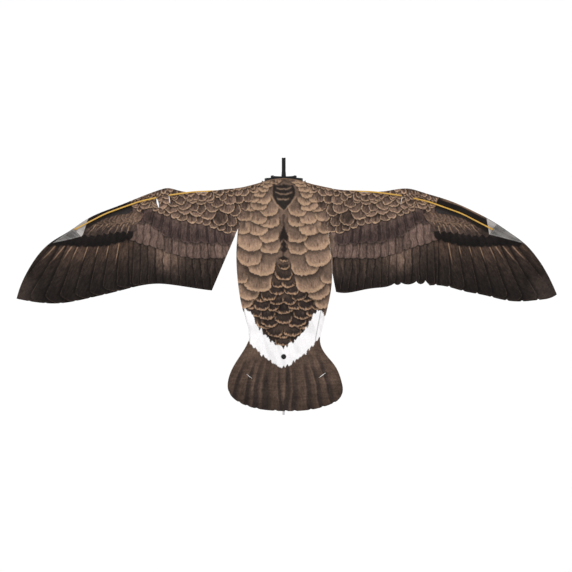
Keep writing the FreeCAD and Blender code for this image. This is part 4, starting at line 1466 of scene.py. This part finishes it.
def gore_piece(word):
    """One of the belly's three sewn cloth panels."""
    first, last = GORES[word]
    rows, columns = 150, 62 if word == "centre" else 44
    y, angle = np.meshgrid(np.linspace(-66, -509.5, rows), np.linspace(first, last, columns), indexing="ij")
    net = gore_net(word, y, angle)
    points, faces = grid(net, None if word == "centre" else ~spar_doorway(net))
    colours = belly_colours(((angle - 90) * 1.95).ravel(), y.ravel())
    used = np.unique(faces)
    renumbered = np.zeros(len(points), int)
    renumbered[used] = np.arange(len(used))
    shape = Shape()
    shape.add_sheet(points[used], renumbered[faces[:, ::-1]], CLOTH, 1, colours[used])
    lengthwise = (0.02, 0, 1) if word == "centre" else (1, 0, 0.02)
    for edge in (first, last):
        if edge in (0.0, 180.0):
            continue
        inner = edge + math.copysign(2.0, (first + last) / 2 - edge)
        for k in np.arange(-72, -504, -STITCH_GAP):
            here = belly_place(np.array([k - STITCH / 2, k, k + STITCH / 2]), np.full(3, inner), 0.35)
            shape.add(*tube(here, [0.15, 0.4, 0.15], 5, up=lengthwise), 2)
    piece = placed(shape, "belly_" + word + "_panel", [BELLY_TOP, BELLY_BACK, THREAD],
                   "belly_gore_" + word)


for word in GORES:
    gore_piece(word)


def mouth_tape():
    """Binding tape folded over the front edge of the belly's three panels."""
    profile = [(-64.3, 0.1), (-64.0, 0.55), (-64.5, 0.95), (-66.5, 1.0), (-70.6, 0.85), (-71.2, 0.55),
               (-70.6, 0.35), (-66.8, 0.3), (-66.0, 0.0), (-66.8, -0.75), (-70.6, -0.85), (-71.0, -1.05),
               (-70.6, -1.25), (-66.5, -1.3), (-64.5, -0.95), (-64.0, -0.4)]
    net = []
    for angle in np.linspace(179, 1, 120):
        wander = 0.25 * math.sin(angle * 0.9) + 0.12 * math.sin(angle * 2.3)
        for y, out in profile:
            place = belly_place(np.array(MOUTH_Y), np.array(angle), -out)
            net.append(place + np.array([0, y - MOUTH_Y + wander, 0]))
    count = len(profile)
    last = len(net) - count
    faces = ring_faces(len(net) // count, count)
    faces += [tuple(reversed(range(count))), tuple(last + j for j in range(count))]
    shape = Shape()
    shape.add(net, faces, 0)
    for angle in np.arange(4, 176, 1.9):
        here = belly_place(np.full(3, -69.4), angle + np.array([-0.7, 0, 0.7]), -1.0)
        shape.add(*tube(here, [0.12, 0.36, 0.12], 5, up=(0, 1, 0)), 1)
    placed(shape, "mouth_tape", [TAPE, THREAD], "mouth_binding")


mouth_tape()


# ---------------------------------------------------------------- tail end and small hardware

def box_of(node):
    """A CAD node's lowest and highest corner in millimetres."""
    return (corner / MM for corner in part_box(node))


def tail_strap():
    """Webbing strap that holds the spine rod's end up against the tail."""
    low, high = box_of("tail_loop")
    middle_z, around = 4.6, 3.9
    wing = [(-13.5, 8.6), (-10, 8.5), (-7, 8.0), (-5.2, 6.6)]
    turns = [math.radians(a) for a in range(170, 371, 20)]
    bow = [(around * math.cos(a), middle_z + around * math.sin(a)) for a in turns]
    path = wing + bow + [(-x, z) for x, z in reversed(wing)]
    fine = eased([(x, 0, z) for x, z in path], 0.8, 2.4)
    ys = np.linspace(low[1] + 0.3, high[1] - 0.3, 14)
    net = [[(x, y + 0.1 * math.sin(x * 3), z + 0.08 * math.sin(y * 2.9)) for y in ys] for x, _, z in fine]
    shape = Shape()
    shape.add_sheet(*grid(net), 0.7)
    for x in (-11.5, -8.8, 8.8, 11.5):
        for y in np.arange(low[1] + 1.6, high[1] - 1.4, 2.0):
            place = [(x, y - 0.8, 8.0), (x, y, 7.55), (x, y + 0.8, 8.0)]
            shape.add(*tube(place, [0.15, 0.35, 0.15], 6), 1)
    placed(shape, "tail_strap", [TAPE, PALE_THREAD], "tail_loop")


def vinyl_sleeve():
    """Soft open sleeve on the end of the spine rod, slightly stretched where it grips."""
    low, high = box_of("spine_end_cap")
    length = high[1] - low[1]
    outer, inner = 3.35, 2.6
    profile = [(2.55, 0.0), (outer - 0.1, 0.0), (outer, 0.5)]
    profile += [(outer + 0.05 * math.sin(t * 1.9), t) for t in np.linspace(1.2, length - 1.5, 22)]
    profile += [(outer - 0.05, length - 0.5), (outer - 0.3, length), (inner, length - 0.2),
                (inner - 0.1, length - 12), (0.0, length - 12.2)]
    shape = Shape()
    shape.add(*turned(profile, (0, high[1], (low[2] + high[2]) / 2), (0, -1, 0), 36), 0)
    placed(shape, "spine_sleeve", [VINYL], "spine_end_cap")


def snap_button():
    """Domed button of the press stud on the rump."""
    low, high = box_of("rump_snap_cap")
    radius = (high[0] - low[0]) / 2
    base = cloth_height(np.array([0.0]), np.array([-560.0]))[0] - 0.1
    crown = high[2] - 0.1
    stem = [(0.0, base - 2.4), (1.9, base - 2.4), (1.9, base)]
    rim = [(0.5, 0), (0, 0.35), (0.1, 0.9), (0.8, 1.45), (1.5, 1.6), (1.8, 1.35), (2.2, 1.3), (2.6, 1.7)]
    dome = [(3.0, crown - 0.25), (1.8, crown), (1.2, crown - 0.3), (0.0, crown - 0.45)]
    profile = stem + [(radius - inwards, base + up) for inwards, up in rim] + dome
    centre = ((low[0] + high[0]) / 2, (low[1] + high[1]) / 2, 0)
    shape = Shape()
    shape.add(*turned(profile, centre, (0, 0, 1), 48), 0)
    placed(shape, "rump_button", [RUBBER], "rump_snap_cap")


def finish_nodes(names, material):
    """Gives carried-over CAD nodes their material."""
    for name in names:
        mesh = frame["nodes"][name].data
        mesh.materials.clear()
        mesh.materials.append(material)


tail_strap()
vinyl_sleeve()
snap_button()
finish_nodes(["nose_tube", "collar_bridge", "neck_collar", "spar_hub", "spine_clip", "rump_snap_socket"],
             BLACK)
finish_nodes(["left_spar_cap", "right_spar_cap"], AMBER)
finish_nodes(["collar_rivets", "hub_screws"], METAL)
finish_nodes(["spine_rod"], FIBRE)


# ---------------------------------------------------------------- floor, light and camera

def in_scene(name, data):
    """A new object in the scene."""
    obj = bpy.data.objects.new(name, data)
    bpy.context.scene.collection.objects.link(obj)
    return obj


def floor():
    """A wide pale floor far below."""
    mesh = bpy.data.meshes.new("floor")
    reach, level = 60.0, -5.0
    corners = ((-1, -1), (1, -1), (1, 1), (-1, 1))
    mesh.from_pydata([(x * reach, y * reach, level) for x, y in corners], [], [(0, 1, 2, 3)])
    mesh.materials.append(floor_material())
    in_scene("floor", mesh)


def soft_light(name, place, size, power):
    """A large square lamp turned to the middle of the decoy."""
    data = bpy.data.lights.new(name, "AREA")
    data.shape = "SQUARE"
    data.size = size
    data.energy = power
    lamp = in_scene(name, data)
    lamp.location = place
    lamp.rotation_euler = (Vector((0, -0.35, 0)) - Vector(place)).to_track_quat("-Z", "Y").to_euler()


def white_surround():
    """Even white light from all round."""
    world = bpy.data.worlds.new("studio")
    world.use_nodes = True
    background = world.node_tree.nodes["Background"]
    background.inputs["Color"].default_value = (1, 1, 1, 1)
    background.inputs["Strength"].default_value = 1.02
    bpy.context.scene.world = world
    bpy.context.scene.view_settings.view_transform = "Standard"


def camera():
    """Straight down on the spread decoy, nose up."""
    data = bpy.data.cameras.new("camera")
    data.lens, data.sensor_width = 90, 36
    data.clip_start, data.clip_end = 0.05, 200
    eye = in_scene("camera", data)
    eye.location = (0.0065, -0.3613, 4.03)
    bpy.context.scene.camera = eye


floor()
soft_light("key", (-1.6, 1.4, 2.6), 2.2, 22)
soft_light("fill", (2.2, -1.6, 2.8), 2.6, 10)
white_surround()
camera()
